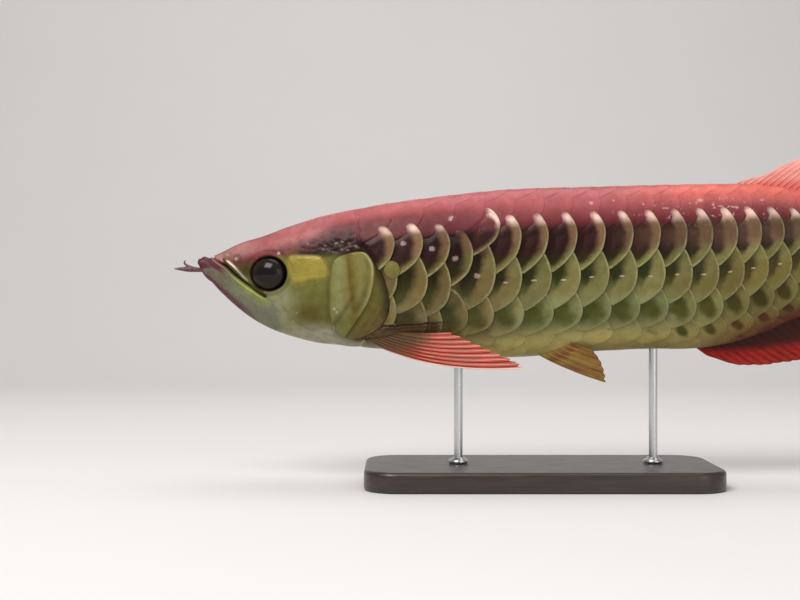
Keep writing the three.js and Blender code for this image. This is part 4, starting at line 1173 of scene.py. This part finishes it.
class AROWANA_OT_scales(bpy.types.Operator):
    """Lay the overlapping scales over the skin, row by row, as solid plates"""

    bl_idname = "arowana.scales"
    bl_label = "Scales"

    def execute(self, context):
        sizes, colours = settings(context)
        finish = scale_finish("scale gloss", colours)
        for name, side in (("scales_left", -1), ("scales_right", 1)):
            wanted = []
            for column in COLUMNS:
                for row in range(1, LAST_ROW):
                    back, down, size, stretch = SHOULDER_SCALES.get((column, row), (0, 0, 1.0, 1.0))
                    wanted.append((column + back, row + down, size, stretch, column, row, SCALE_OUTLINE))
            for k, extra in enumerate(EXTRA_SCALES):
                wanted.append((*extra, COLUMNS[-1] + 1, 1 + k, SCALE_OUTLINE))
            wanted.append((*KNOB_SCALE, COLUMNS[-1] + 1, 1 + len(EXTRA_SCALES), KNOB_OUTLINE))
            self.coat(name, side, wanted, sizes, colours, finish, np.random.default_rng(11))
        middle = []
        for row, half, cell_row in ((0, BACK_OUTLINE, 1), (LAST_ROW, BELLY_OUTLINE, 2)):
            middle += [(column, row, 1.0, 1.0, column, cell_row, mirrored(half)) for column in COLUMNS]
        self.coat("scales_midline", -1, middle, sizes, colours, finish, np.random.default_rng(12))
        return {"FINISHED"}

    def coat(self, name, side, wanted, sizes, c, finish, draw):
        """Join the wanted scales into one mesh, each with its numbers and c."""
        full_step, thickness = sizes.plate_step / MM, sizes.plate_thickness / MM
        columns, rows = len(COLUMNS) + 1, max(entry[5] for entry in wanted)
        plate, lower = plate_faces()
        if side > 0:
            plate = [face[::-1] for face in plate]
        points, faces, uv = [], [], []
        numbers, paints = {}, {}
        count = 0
        for column, row, size, stretch, cell_column, cell_row, outline in wanted:
            on_side = 0 < row < LAST_ROW
            centre = np.array(SCALE_CENTRE if on_side else (-0.74, 0.0))
            if outline is KNOB_OUTLINE:
                centre = np.array([-0.25, 0.0])
            lift, rise = (np.interp(row, range(LAST_ROW + 1), table) for table in (ROW_LIFT, ROW_RISE))
            thick = thickness * min(1, 0.35 + 0.65 * rise)
            local, heights, edge = scale_patch(outline, centre, thick, size, stretch)
            u, v = local[:, 0], local[:, 1]
            wild = draw.uniform(-1, 1, 5)
            drop = v if on_side else np.abs(v) * (1 if row == 0 else -1)
            if round(row) == 2:
                drop = np.maximum(drop, 0)
                rough_station = SCALES_FROM + 16 * column
                sunk = step(0.0, 0.3, past_tip(u, v, rough_station)) * step(-0.12, -0.5, v)
                heights = heights - (1.1 if row < 2.3 else 0.5) * sunk
            if outline is KNOB_OUTLINE:
                lift, rise = lift + 0.2, 0.5
                heights = heights + 0.9 * step(0, 0.22, edge)
            if row > 4.4:
                calm = 0.4 + 0.6 * step(6, 10, column)
                lift, rise = lift * calm, rise * calm
            height = lift + full_step * rise * (u + ROW_DROP * drop) + heights + 0.05 * wild[0] * v
            at, station, over = trunk_surface(column + u * (1 + 0.02 * wild[1]), row + v, side, height)
            if station.max() > TAIL_END + 5.5:
                continue
            above = at[:, 2] - AXIS_HEIGHT
            core, band, inside = scale_paints(row, over, station, above, u, v, edge, wild[2], c)
            if outline is KNOB_OUTLINE:
                inside = inside - 1
                band = np.broadcast_to(0.8 * tint(c.cover), band.shape)
            by_head = step(106, 99, station) * (over < 2.6)
            inside = np.maximum(inside, 0.2 * by_head - 2 * (1 - by_head))
            fold, fold_shown = pectoral_fold(station, above)
            spot = self.spot(column, row, wild)
            points.append(at)
            faces += [tuple(count + i for i in face) for face in plate]
            uv.append(scale_uv(local, plate, lower, cell_column - COLUMNS[0], cell_row - 1, columns, rows))
            rimmed = np.interp(over, range(LAST_ROW + 1), ROW_RIM)
            rimmed = rimmed * (1 - by_head) * (1 if row > 1.5 and outline is SCALE_OUTLINE else 0)
            if round(row) == 2:
                rimmed = rimmed * step(-0.45, -0.2, v)
            # Where the back carries specks of painted glint.
            glint_specks = 0.5 * ridge(over, 1.35, 0.35) * step(225, 290, station) * step(360, 320, station)
            values = dict(
                core=inside,
                edge=edge,
                rimmed=rimmed,
                spot_along=(u - spot[0]) / spot[2],
                spot_across=(v - spot[1]) / spot[3],
                spot_shine=np.full(len(u), spot[4]),
                glint_specks=glint_specks,
                fold=fold,
                fold_shown=fold_shown,
            )
            for key, value in values.items():
                numbers.setdefault(key, []).append(value)
            for key, value in (("core_paint", core), ("band_paint", band)):
                paints.setdefault(key, []).append(value)
            count += len(at)
        numbers = {key: np.concatenate(parts) for key, parts in numbers.items()}
        paints = {key: np.concatenate(parts) for key, parts in paints.items()}
        piece = make_piece(name, np.concatenate(points), faces, numbers, paints, np.concatenate(uv))
        finish_piece(piece, "scales", finish)

    def spot(self, column, row, wild):
        """Place, half sizes and strength of a bright spot: a pore, a glint or a lateral line tick."""
        if row == 3 and column > 3.5:
            return -0.6 + 0.06 * wild[3], 0.08 + 0.03 * wild[4], 0.1, 0.026, 0.45
        if (round(row) == 2 and 0.5 < column < 2.7) or 2.8 < row < 3 and 3 < column < 3.3:
            return -0.62, -0.04 + 0.12 * (column > 1.5) + 0.04 * wild[4], 0.1, 0.075, 0.32
        if row == 1 and column == 2:
            return -0.14, 0.32, 0.13, 0.1, 0.5
        # Long thin painted glints on row 1 further back.
        if row == 1 and column > 6:
            long, thin = 0.1 + 0.06 * wild[3], 0.05 + 0.03 * wild[2]
            return -0.5 + 0.35 * wild[4], 0.2 + 0.25 * wild[0], long, thin, 0.35
        return 9, 9, 1, 1, 0


def mirrored(half):
    """A closed outline from the half that lies below its long axis."""
    return half + [(u, -v) for u, v in reversed(half[1:])]


# Gill covers

class AROWANA_OT_gill_covers(bpy.types.Operator):
    """Fit the hard gill covers with their soft hind flaps"""

    bl_idname = "arowana.gill_covers"
    bl_label = "Gill covers"

    def execute(self, context):
        sizes, colours = settings(context)
        finish = skin_finish("gill cover gloss")
        sectors, rings = 220, np.concatenate([np.linspace(0.02, 0.9, 46), np.linspace(0.915, 1.0, 14)])
        rim = loop_through([*COVER_HIND_EDGE, *COVER_FRONT_EDGE], sectors)
        centre = np.array([94.0, -14.0])
        spread = centre + (rim - centre) * rings[:, None, None]
        x, z = spread[..., 0], spread[..., 1]
        inside = np.maximum(inside_outline(x, z, rim), 0)
        hard, gone = beside_path(x, z, path_through(HARD_COVER_EDGE, 40))
        proud = sizes.cover_proud / MM
        round_edge = np.sqrt(np.clip(inside / 1.4, 0, 1))
        flap = step(0.2, 1.2, hard)
        free = 0.2 + 0.8 * step(81, 92, x)
        low = -0.9 * free
        lift = low + (proud * free - low) * round_edge
        lift += 0.4 * step(-5, -0.2, hard) * (1 - flap) * step(0.0, 0.12, gone)
        lift -= 0.75 * flap * step(0, 2, inside)
        lift += 0.1 * flap * np.sin(hard * 1.6) * step(0.3, 1.5, inside)
        lift -= 0.25 * ridge(hard, -8.5, 1.6) * step(0.25, 0.4, gone)
        lift += 0.2 * ridge(x, 85, 2.2) * step(-32, -20, z)
        outer, inner = lift, np.full_like(lift, -COVER_BED + 0.5)
        paint = self.paint(x, z, inside, hard, gone, colours)
        angle = angle_at(x, z)
        for name, side in (("gill_cover_left", -1), ("gill_cover_right", 1)):
            shells = [swim(lifted(x, -side * angle, height)) for height in (outer, inner)]
            top = np.concatenate([shells[0].reshape(-1, 3), shells[1][::-1].reshape(-1, 3)])
            rows = 2 * len(rings)
            hubs = np.stack([shells[0][0].mean(0), shells[1][0].mean(0)])
            faces = closed_tube(rows, sectors, flip=side > 0)
            both = np.concatenate([paint.reshape(-1, 3), paint[::-1].reshape(-1, 3)])
            both = np.concatenate([both, both[:2]])
            # Two painted glints low on the cover.
            spark = 0.8 * ridge(np.hypot(x - 81.6, z + 22.2), 0, 0.6)
            spark = spark + 0.6 * ridge(np.hypot(x - 83, z + 24), 0, 0.5)
            spark = np.concatenate([spark.ravel(), spark[::-1].ravel(), [0, 0]])
            numbers = {"shine": np.full(len(both), 0.6), "spark": spark}
            piece = make_piece(name + "_plate", np.concatenate([top, hubs]), faces, numbers, {"paint": both})
            finish_piece(piece, "gill_cover", finish, name)
        return {"FINISHED"}

    def paint(self, x, z, inside, hard, gone, c):
        """The gill cover's colours, by place and by distance from its edges, with painted shade along its
        edges, groove and flap and a painted highlight on its hard edge.
        """
        paint = np.broadcast_to(tint(c.cover), (*x.shape, 3)).copy()

        def lay(other, share):
            nonlocal paint
            paint = blend(paint, other, share)

        lay(c.sage, 0.85 * ridge(x, 84.5, 4.0) + 0.3 * ridge(x, 98, 2.4))
        lay(c.bronze, 0.6 * ridge(x + 0.1 * z, 91.5, 2.4))
        lay(c.umber, 0.3 * ridge(x + 0.1 * z, 90.5, 1.2) * step(-30, -10, z))
        lay(c.temple, 0.5 * step(5, 11, z) * step(94, 86, x))
        lay(c.cheek, 0.7 * step(-20, -34, z))
        # Painted shade along the inner side of the raised hard edge.
        lay(c.umber, 0.45 * ridge(hard, -3.2, 2.2) * ridge(z, -14, 11))
        lay(c.flap, step(-0.3, 0.8, hard))
        # Painted shadow darkening the flap towards its hind edge.
        shadow = step(7.5, 1.5, inside) * step(98, 105, x) * step(-36, -24, z)
        lay(0.7 * tint(c.moss), 0.75 * shadow)
        lay(c.umber, 0.5 * step(3.5, 0.5, inside) * step(100, 106, x))
        lay(c.clay, 0.5 * step(-22, -32, z) * step(0.5, 2.5, hard))
        shown = step(0.02, 0.08, gone) * (0.4 + 0.6 * step(0.42, 0.3, gone)) * step(0.75, 0.55, gone)
        # Painted highlight along the hard edge, brightest on its upper part.
        lay(c.rim, ridge(hard, -0.5, 0.9) * shown)
        # Painted shade in the groove inside the lower part of the hard edge.
        lay(c.umber, 0.4 * ridge(hard, -8.5, 1.6) * step(0.45, 0.65, gone))
        # Painted shade along the cover's outline where it meets the skin, strongest at the back, and more
        # along its front edge.
        lay(c.umber, step(0.9, 0.1, inside) * (0.12 + 0.5 * step(90, 100, x)))
        lay(c.umber, 0.4 * step(1.8, 0.4, inside) * step(85, 81, x) * step(-24, -14, z))
        return paint


# Eyes and barbels

class AROWANA_OT_eyes(bpy.types.Operator):
    """Set the eyes in their sockets"""

    bl_idname = "arowana.eyes"
    bl_label = "Eyes"

    def execute(self, context):
        finish = eye_finish("wet eye")
        rows, sides = 40, 64
        tip = np.linspace(0.02, math.pi - 0.02, rows)
        turn = np.linspace(0, 2 * math.pi, sides, endpoint=False)
        tip, turn = np.meshgrid(tip, turn, indexing="ij")
        for name, side in (("eye_left", -1), ("eye_right", 1)):
            ball = np.stack([
                EYE_LONG * EYE_RADIUS * np.sin(tip) * np.cos(turn),
                side * EYE_DEPTH * np.cos(tip),
                EYE_TALL * EYE_RADIUS * np.sin(tip) * np.sin(turn),
            ], -1)
            lean = side * EYE_TURN
            spun = np.stack([
                ball[..., 0] * math.cos(lean) - ball[..., 1] * math.sin(lean),
                ball[..., 0] * math.sin(lean) + ball[..., 1] * math.cos(lean),
                ball[..., 2],
            ], -1)
            centre = [JAW_TIP_X + EYE_STATION, side * EYE_OUT, AXIS_HEIGHT + EYE_HEIGHT]
            points = (spun + centre).reshape(-1, 3)
            hubs = np.stack([points[:sides].mean(0), points[-sides:].mean(0)])
            faces = closed_tube(rows, sides, flip=side < 0)
            ring = np.concatenate([np.where(tip < math.pi / 2, np.sin(tip), 1.0).ravel(), [0, 1]])
            piece = make_piece(name + "_ball", np.concatenate([points, hubs]), faces, {"ring": ring})
            finish_piece(piece, "eye", finish, name)
        return {"FINISHED"}


BARBELS = {
    "barbel_left": [(3.5, -2.0, 1.0), (0, -3.3, 1.0), (-5, -4.2, 1.2), (-10, -4.4, 1.5), (-14.6, -4.6, 1.6)],
    "barbel_right": [
        (3.5, 2.0, 1.2), (0, 3.3, 1.4), (-4, 4.6, 1.9), (-7.6, 5.2, 3.2), (-9.9, 5.4, 4.8), (-10.2, 5.4, 6.1),
        (-9.3, 5.3, 6.9),
    ],
}


class AROWANA_OT_barbels(bpy.types.Operator):
    """Grow the two barbels from the chin"""

    bl_idname = "arowana.barbels"
    bl_label = "Barbels"

    def execute(self, context):
        finish = barbel_finish("barbel skin", context.scene.arowana_colours)
        steps, sides = 60, 16
        for name, route in BARBELS.items():
            path = swim(path_through(route, steps))
            t = np.linspace(0, 1, steps)
            slim = 1.0 if name == "barbel_left" else 0.75
            thick = 1.1 + 0.42 * np.sin(math.pi * t) + 0.05 * np.sin(t * 60)
            radii = slim * thick * np.sqrt(np.clip((1 - t) * 2.6 + 0.03, 0, 1))
            points, faces, along = rope(path, radii, sides)
            piece = make_piece(name + "_skin", points, faces, {"along": along})
            finish_piece(piece, "barbel", finish, name)
        return {"FINISHED"}


# Fins

def bent(root, past, tip, t):
    """Points along a ray that leaves its root towards past and ends at its tip."""
    t = np.asarray(t)[..., None]
    return root * (1 - t) ** 2 + past * 2 * t * (1 - t) + tip * t * t


def median_rays(share, start, end, lengths, slopes, edge_angle, up, sway):
    """Root, bend and tip of the rays of a fin in the middle plane, by share of its base."""
    sunk = 3
    station = start + (end - start) * share
    reach = curve_through(lengths)(share) + sunk
    slope = curve_through(slopes)(share)
    away = np.stack([np.cos(slope), np.zeros_like(slope), up * np.sin(slope)], -1)
    root = skin(station, np.full_like(station, edge_angle))
    root[..., 1] = 0
    root = root - away * sunk
    past = root + away * (0.5 * reach)[..., None]
    past[..., 2] += up * 0.05 * reach
    tip = root + away * reach[..., None]
    tip[..., 1] += sway * np.sin(1.2 * math.pi * share + 0.6) * reach / 40
    return root, past, tip


def tail_rays(share):
    middle, half, *_ = section(TAIL_END)
    across = 2 * share - 1
    spread = 0.62 * across
    reach = 62 - 15 * np.abs(across) ** 2.6
    rise = reach * np.sin(spread)
    flat = np.zeros_like(share)
    root = np.stack([flat + TAIL_END - 4, flat, middle + 0.9 * half * across], -1)
    past = root + np.stack([0.45 * reach, flat, 0.62 * rise], -1)
    tip = root + np.stack([reach * np.cos(spread), flat + 1.5, rise], -1)
    return root, past, tip


def paired_rays(share, side, lead, hind, bow):
    """Rays of a paired fin between its leading ray and its hindmost one, given on the left side."""
    made = []
    for a, b in zip(lead, hind):
        a, b = np.array(a) * [1, side, 1], np.array(b) * [1, side, 1]
        made.append(a + (b - a) * share[..., None])
    made[2][..., 0] += bow * np.sin(math.pi * share)
    return made


def fin_sheet(
    node, rays_at, count, sizes, slot, finish, ray_half=1.0, notch=0.03, lead=0.0, shade=0.0, forks=9
):
    """A thin fin as one closed sheet, with forking rays raised on both faces."""
    per_ray, steps = 14, 64
    columns = (count - 1) * per_ray + 1
    phase = np.linspace(0, count - 1, columns)
    share = phase / (count - 1)
    t = np.linspace(0, 1, steps)
    p, m = np.meshgrid(phase, t, indexing="ij")
    rib = np.zeros_like(p)
    for level in range(min(sizes.branches, forks) + 1):
        opened = step(0.02 + 0.28 * level, 0.36 + 0.26 * level, m) if level else np.zeros_like(m)
        for offset in fork_offsets(level):
            away = np.abs((p - offset * opened + 0.5) % 1 - 0.5)
            width = 0.13 / (1 + 0.7 * level)
            rib = np.maximum(rib, np.exp(-(away / width) ** 2) * (1 - 0.12 * level))
    tooth = np.abs((phase + 0.5) % 1 - 0.5) * 2
    end = 1 - notch * tooth**1.5
    reach = t[None, :] * end[:, None]
    root, past, tip = rays_at(share)
    middle = bent(root[:, None], past[:, None], tip[:, None], reach)
    ripple = 0.35 * np.sin(p * 2.4) * m * m
    across = np.gradient(middle, axis=0)
    along = np.gradient(middle, axis=1)
    normal = np.cross(across, along)
    normal /= np.maximum(np.linalg.norm(normal, axis=-1, keepdims=True), 1e-9)
    middle = middle + normal * ripple[..., None]
    web = sizes.web_half / MM
    thick = ray_half * (sizes.ray_half / MM) * (1 - m) + 0.3 * m
    edge_ray = lead * np.exp(-((p / 0.22) ** 2))
    half = web * (1 - 0.35 * m) + (thick - web * 0.6) * rib * (1 + edge_ray)
    fade = np.sqrt(np.clip((1 - m) * 12 + 0.06, 0, 1))
    half = half * fade
    faces_up = swim(middle + normal * half[..., None])
    faces_down = swim(middle - normal * half[..., None])
    points = np.concatenate([faces_up.reshape(-1, 3), faces_down.reshape(-1, 3)])
    size = columns * steps
    quads = grid_faces(columns, steps)
    faces = np.concatenate([quads, quads[:, ::-1] + size])
    border = [(c, 0) for c in range(columns)] + [(columns - 1, m) for m in range(1, steps)]
    border += [(c, steps - 1) for c in range(columns - 2, -1, -1)] + [(0, m) for m in range(steps - 2, 0, -1)]
    around = np.array([c * steps + m for c, m in border])
    following = np.roll(around, -1)
    wall = np.stack([following, around, around + size, following + size], -1)
    faces = np.concatenate([faces, wall])
    part = p / (count - 1)
    dark = 1 - step(0.06 + 0.3 * shade * part, 0.4 + 0.35 * shade * part, m)
    first = (1 - step(0.1, 0.35, p)) * step(0.12, 0.3, m) * (lead > 0)
    grids = (("ray", rib), ("along", m), ("dark", dark), ("lead", first))
    numbers = {key: np.concatenate([grid.ravel()] * 2) for key, grid in grids}
    piece = make_piece(node + "_web", points, faces, numbers)
    finish_piece(piece, slot, finish, node)


def fork_offsets(level):
    """Where a ray's branches lie beside its middle after this many forks, in shares of the gap."""
    offsets = [0.0]
    for depth in range(level):
        offsets = [o + s * 0.25 / 2**depth for o in offsets for s in (-1, 1)]
    return offsets


class AROWANA_OT_middle_fins(bpy.types.Operator):
    """Spread the dorsal, anal and tail fins"""

    bl_idname = "arowana.middle_fins"
    bl_label = "Middle fins"

    def execute(self, context):
        sizes, c = settings(context)
        scarlet = mixed(c.fin_red, c.fin_ray, 0.16)
        red = fin_finish("red fin", c.fin_red, c.fin_root, scarlet, c.fin_ray, 0.3)
        pale, pink = mixed(c.salmon, c.cream, 0.36), mixed(c.salmon, c.cream, 0.55)
        rosy = fin_finish("dorsal fin", pale, mixed(c.salmon, c.back, 0.4), pink, c.cream, 0.3)

        def dorsal(share):
            lengths = [(0, 5), (0.118, 12), (0.18, 25), (0.26, 35), (0.427, 45), (0.69, 45), (1, 36)]
            slopes = [(0, 0.55), (0.118, 0.6), (0.5, 0.62), (1, 0.4)]
            return median_rays(share, 322, 398, lengths, slopes, 0.0, 1, 4)

        def anal(share):
            lengths = [(0, 9), (0.06, 19), (0.16, 25), (0.3, 30), (0.5, 38), (0.75, 39), (1, 29)]
            slopes = [(0, 0.62), (0.3, 0.56), (0.6, 0.62), (1, 0.42)]
            return median_rays(share, 298, 416, lengths, slopes, math.pi, -1, 5)

        fin_sheet("dorsal_fin", dorsal, 20, sizes, "red_fin", rosy)
        # shade=2.4 spreads the dark root far over the anal fin's membrane; that spread is painted shade under
        # the body.
        fin_sheet("anal_fin", anal, 26, sizes, "red_fin", red, shade=2.4)
        fin_sheet("tail_fin", tail_rays, 17, sizes, "red_fin", red, ray_half=1.25)
        return {"FINISHED"}


PECTORAL_LEAD = [(97, 8, -39.5), (136, 25, -61.5), (193.5, 36, -56)]
PECTORAL_HIND = [(108, 8, -34), (128, 20, -37.5), (149, 21.5, -36)]
PELVIC_LEAD = [(197, 4.5, -46), (216, 9.5, -58), (241, 16.5, -65.5)]
PELVIC_HIND = [(216, 9, -40), (226, 16, -44.5), (233, 18.5, -46)]


class AROWANA_OT_paired_fins(bpy.types.Operator):
    """Spread the pectoral and pelvic fins on both sides"""

    bl_idname = "arowana.paired_fins"
    bl_label = "Paired fins"

    def execute(self, context):
        sizes, c = settings(context)
        earth, coral = mixed(c.clay, c.fin_root, 0.6), mixed(c.fin_ray, c.cream, 0.22)
        breast = fin_finish("pectoral fin", c.fin_red, earth, coral, c.cream, 0.85)
        amber = mixed(c.fin_gold, c.fin_amber, 0.4)
        hip = fin_finish("pelvic fin", c.fin_amber, c.fin_gold, amber, c.fin_root, 0.5)
        for word, side in (("left", -1), ("right", 1)):
            fin_sheet(
                f"pectoral_fin_{word}",
                lambda share: paired_rays(share, side, PECTORAL_LEAD, PECTORAL_HIND, 1),
                9, sizes, "red_fin", breast, 1.3, 0.035, 0.5, shade=1.5, forks=1,
            )
            fin_sheet(
                f"pelvic_fin_{word}",
                lambda share: paired_rays(share, side, PELVIC_LEAD, PELVIC_HIND, 2),
                6, sizes, "pelvic_fin", hip, 1.1, 0.02, 0.4,
            )
        return {"FINISHED"}


# Stand

class AROWANA_OT_stand(bpy.types.Operator):
    """Finish the wooden base and the steel rods"""

    bl_idname = "arowana.stand"
    bl_label = "Stand"

    def execute(self, context):
        colours = context.scene.arowana_colours
        wood = wood_finish("stained wood", colours)
        steel = steel_finish("brushed steel")
        self.base(wood)
        for node in ("stand_rod_front", "stand_rod_rear"):
            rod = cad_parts[node]
            rod.data.materials.clear()
            rod.data.materials.append(steel)
            rod.data.shade_smooth()
            self.collar(node, steel)
        return {"FINISHED"}

    def base(self, wood):
        low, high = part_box("stand_base")
        middle = [(a + b) / 2 / MM for a, b in zip(low, high)]
        half = [(b - a) / 2 / MM for a, b in zip(low, high)]
        corner, sides = 20, 18
        rows = [(-half[2], 1.2), (-half[2] + 0.4, 0.35), (-half[2] + 1.2, 0.0)]
        rows += [(half[2] - 2.4, 0.0), (half[2] - 1.3, 0.25), (half[2] - 0.5, 0.9), (half[2], 2.2)]
        rings = []
        for up, inset in rows:
            ring = []
            reach = corner - inset
            for quarter, (right, back) in enumerate(((1, 1), (-1, 1), (-1, -1), (1, -1))):
                x, y = right * (half[0] - corner), back * (half[1] - corner)
                for a in quarter * math.pi / 2 + np.linspace(0, math.pi / 2, sides):
                    ring.append((x + reach * math.cos(a), y + reach * math.sin(a), up))
            rings.append(ring)
        rings = np.array(rings) + middle
        count = rings.shape[1]
        faces = grid_faces(len(rows), count, closed=True).tolist()
        faces.append(list(range(count))[::-1])
        faces.append([(len(rows) - 1) * count + k for k in range(count)])
        piece = make_piece("stand_base_wood", rings.reshape(-1, 3), faces)
        for polygon in piece.data.polygons:  # the sides are smooth, the top and bottom flat
            polygon.use_smooth = len(polygon.vertices) == 4
        finish_piece(piece, "stand_base", wood, "stand_base")

    def collar(self, node, steel):
        """A small turned collar where a rod stands in the base."""
        low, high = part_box(node)
        centre = [(low[i] + high[i]) / 2 / MM for i in range(2)]
        foot = low[2] / MM
        profile = [
            (2.7, 0.1), (5.6, 0.1), (5.9, 0.5), (5.9, 1.6), (5.4, 2.1), (4.2, 2.4), (3.6, 3.4), (2.7, 3.6),
        ]
        sides = 48
        turn = np.linspace(0, 2 * math.pi, sides, endpoint=False)
        rings = np.array([
            [(centre[0] + r * math.cos(a), centre[1] + r * math.sin(a), foot + up) for a in turn]
            for r, up in profile
        ])
        faces = grid_faces(len(profile), sides, closed=True).tolist()
        closing = (len(profile) - 1) * sides
        faces += [(closing + k, closing + (k + 1) % sides, (k + 1) % sides, k) for k in range(sides)]
        piece = make_piece(node + "_collar", rings.reshape(-1, 3), faces)
        finish_piece(piece, "stand_rod", steel)


# Studio

# The floor runs back and bends up into a wall
FLOOR_HALF_WIDTH = 3200
FLOOR_NEAR = -2400
FLOOR_FAR = 900
WALL_BEND = 700
WALL_TOP = 2200

# Each lamp's place and size in metres, its power in watts and its colour
LAMPS = {
    "key": ((-0.75, -1.1, 1.45), 0.9, 30, (1.0, 0.97, 0.94)),
    "fill": ((1.1, -1.5, 0.55), 1.3, 7, (0.95, 0.98, 1.0)),
    "top": ((0.15, 0.25, 1.5), 1.0, 9, (1.0, 0.95, 0.96)),
}
LAMPS_AIM = (-0.02, 0, 0.12)
AIR_COLOUR = (0.86, 0.87, 0.9, 1)
AIR_STRENGTH = 0.35
CAMERA_PLACE = (-0.084, -0.8, 0.110)
CAMERA_LENS = 60
CAMERA_SENSOR = 36

class AROWANA_OT_studio(bpy.types.Operator):
    """Set the pale floor, the soft lights and the camera"""

    bl_idname = "arowana.studio"
    bl_label = "Studio"

    def execute(self, context):
        colours = context.scene.arowana_colours
        profile = [(FLOOR_NEAR, 0), (FLOOR_FAR, 0)]
        for a in np.linspace(0, math.pi / 2, 14)[1:]:
            profile.append((FLOOR_FAR + WALL_BEND * math.sin(a), WALL_BEND - WALL_BEND * math.cos(a)))
        profile.append((FLOOR_FAR + WALL_BEND, WALL_TOP))
        rings = np.array([[(x, y, z) for x in (-FLOOR_HALF_WIDTH, FLOOR_HALF_WIDTH)] for y, z in profile])
        floor = make_piece("floor", rings.reshape(-1, 3), grid_faces(len(profile), 2)[:, ::-1])
        floor.data.materials.append(floor_finish("pale floor", colours))
        for name, lamp in LAMPS.items():
            self.light(name, *lamp)
        context.scene.view_settings.view_transform = "Standard"
        world = bpy.data.worlds.new("studio air")
        world.use_nodes = True
        air = world.node_tree.nodes["Background"].inputs
        air["Color"].default_value = AIR_COLOUR
        air["Strength"].default_value = AIR_STRENGTH
        context.scene.world = world
        eye = bpy.data.cameras.new("camera")
        eye.sensor_width = CAMERA_SENSOR
        eye.lens = CAMERA_LENS
        eye.clip_start = 0.02
        camera = bpy.data.objects.new("camera", eye)
        camera.location = CAMERA_PLACE
        camera.rotation_euler = (math.pi / 2, 0, 0)
        context.scene.collection.objects.link(camera)
        context.scene.camera = camera
        return {"FINISHED"}

    def light(self, name, place, size, power, tone):
        lamp = bpy.data.lights.new(name, "AREA")
        lamp.size = size
        lamp.energy = power
        lamp.color = tone
        holder = bpy.data.objects.new(name, lamp)
        holder.location = place
        aim = Vector(LAMPS_AIM) - Vector(place)
        holder.rotation_euler = aim.to_track_quat("-Z", "Y").to_euler()
        bpy.context.scene.collection.objects.link(holder)


STEPS = (
    AROWANA_OT_studio,
    AROWANA_OT_skin,
    AROWANA_OT_scales,
    AROWANA_OT_gill_covers,
    AROWANA_OT_eyes,
    AROWANA_OT_barbels,
    AROWANA_OT_middle_fins,
    AROWANA_OT_paired_fins,
    AROWANA_OT_stand,
)


class AROWANA_PT_steps(bpy.types.Panel):
    """Build steps, sizes and colours of the model"""

    bl_label = "Arowana"
    bl_idname = "AROWANA_PT_steps"
    bl_space_type = "VIEW_3D"
    bl_region_type = "UI"
    bl_category = "Arowana"

    def draw(self, context):
        layout = self.layout
        for operator in STEPS:
            layout.operator(operator.bl_idname)
        for group in settings(context):
            box = layout.box()
            for key in group.bl_rna.properties.keys():
                if key not in ("rna_type", "name"):
                    box.prop(group, key)


CLASSES = (ArowanaSizes, ArowanaColours, *STEPS, AROWANA_PT_steps)


def register():
    for cls in CLASSES:
        bpy.utils.register_class(cls)
    bpy.types.Scene.arowana_sizes = PointerProperty(type=ArowanaSizes)
    bpy.types.Scene.arowana_colours = PointerProperty(type=ArowanaColours)


def unregister():
    del bpy.types.Scene.arowana_colours
    del bpy.types.Scene.arowana_sizes
    for cls in reversed(CLASSES):
        bpy.utils.unregister_class(cls)


def main():
    register()
    for operator in STEPS:
        group, name = operator.bl_idname.split(".")
        getattr(getattr(bpy.ops, group), name)()
    bpy.context.view_layer.update()


if __name__ == "__main__":
    main()
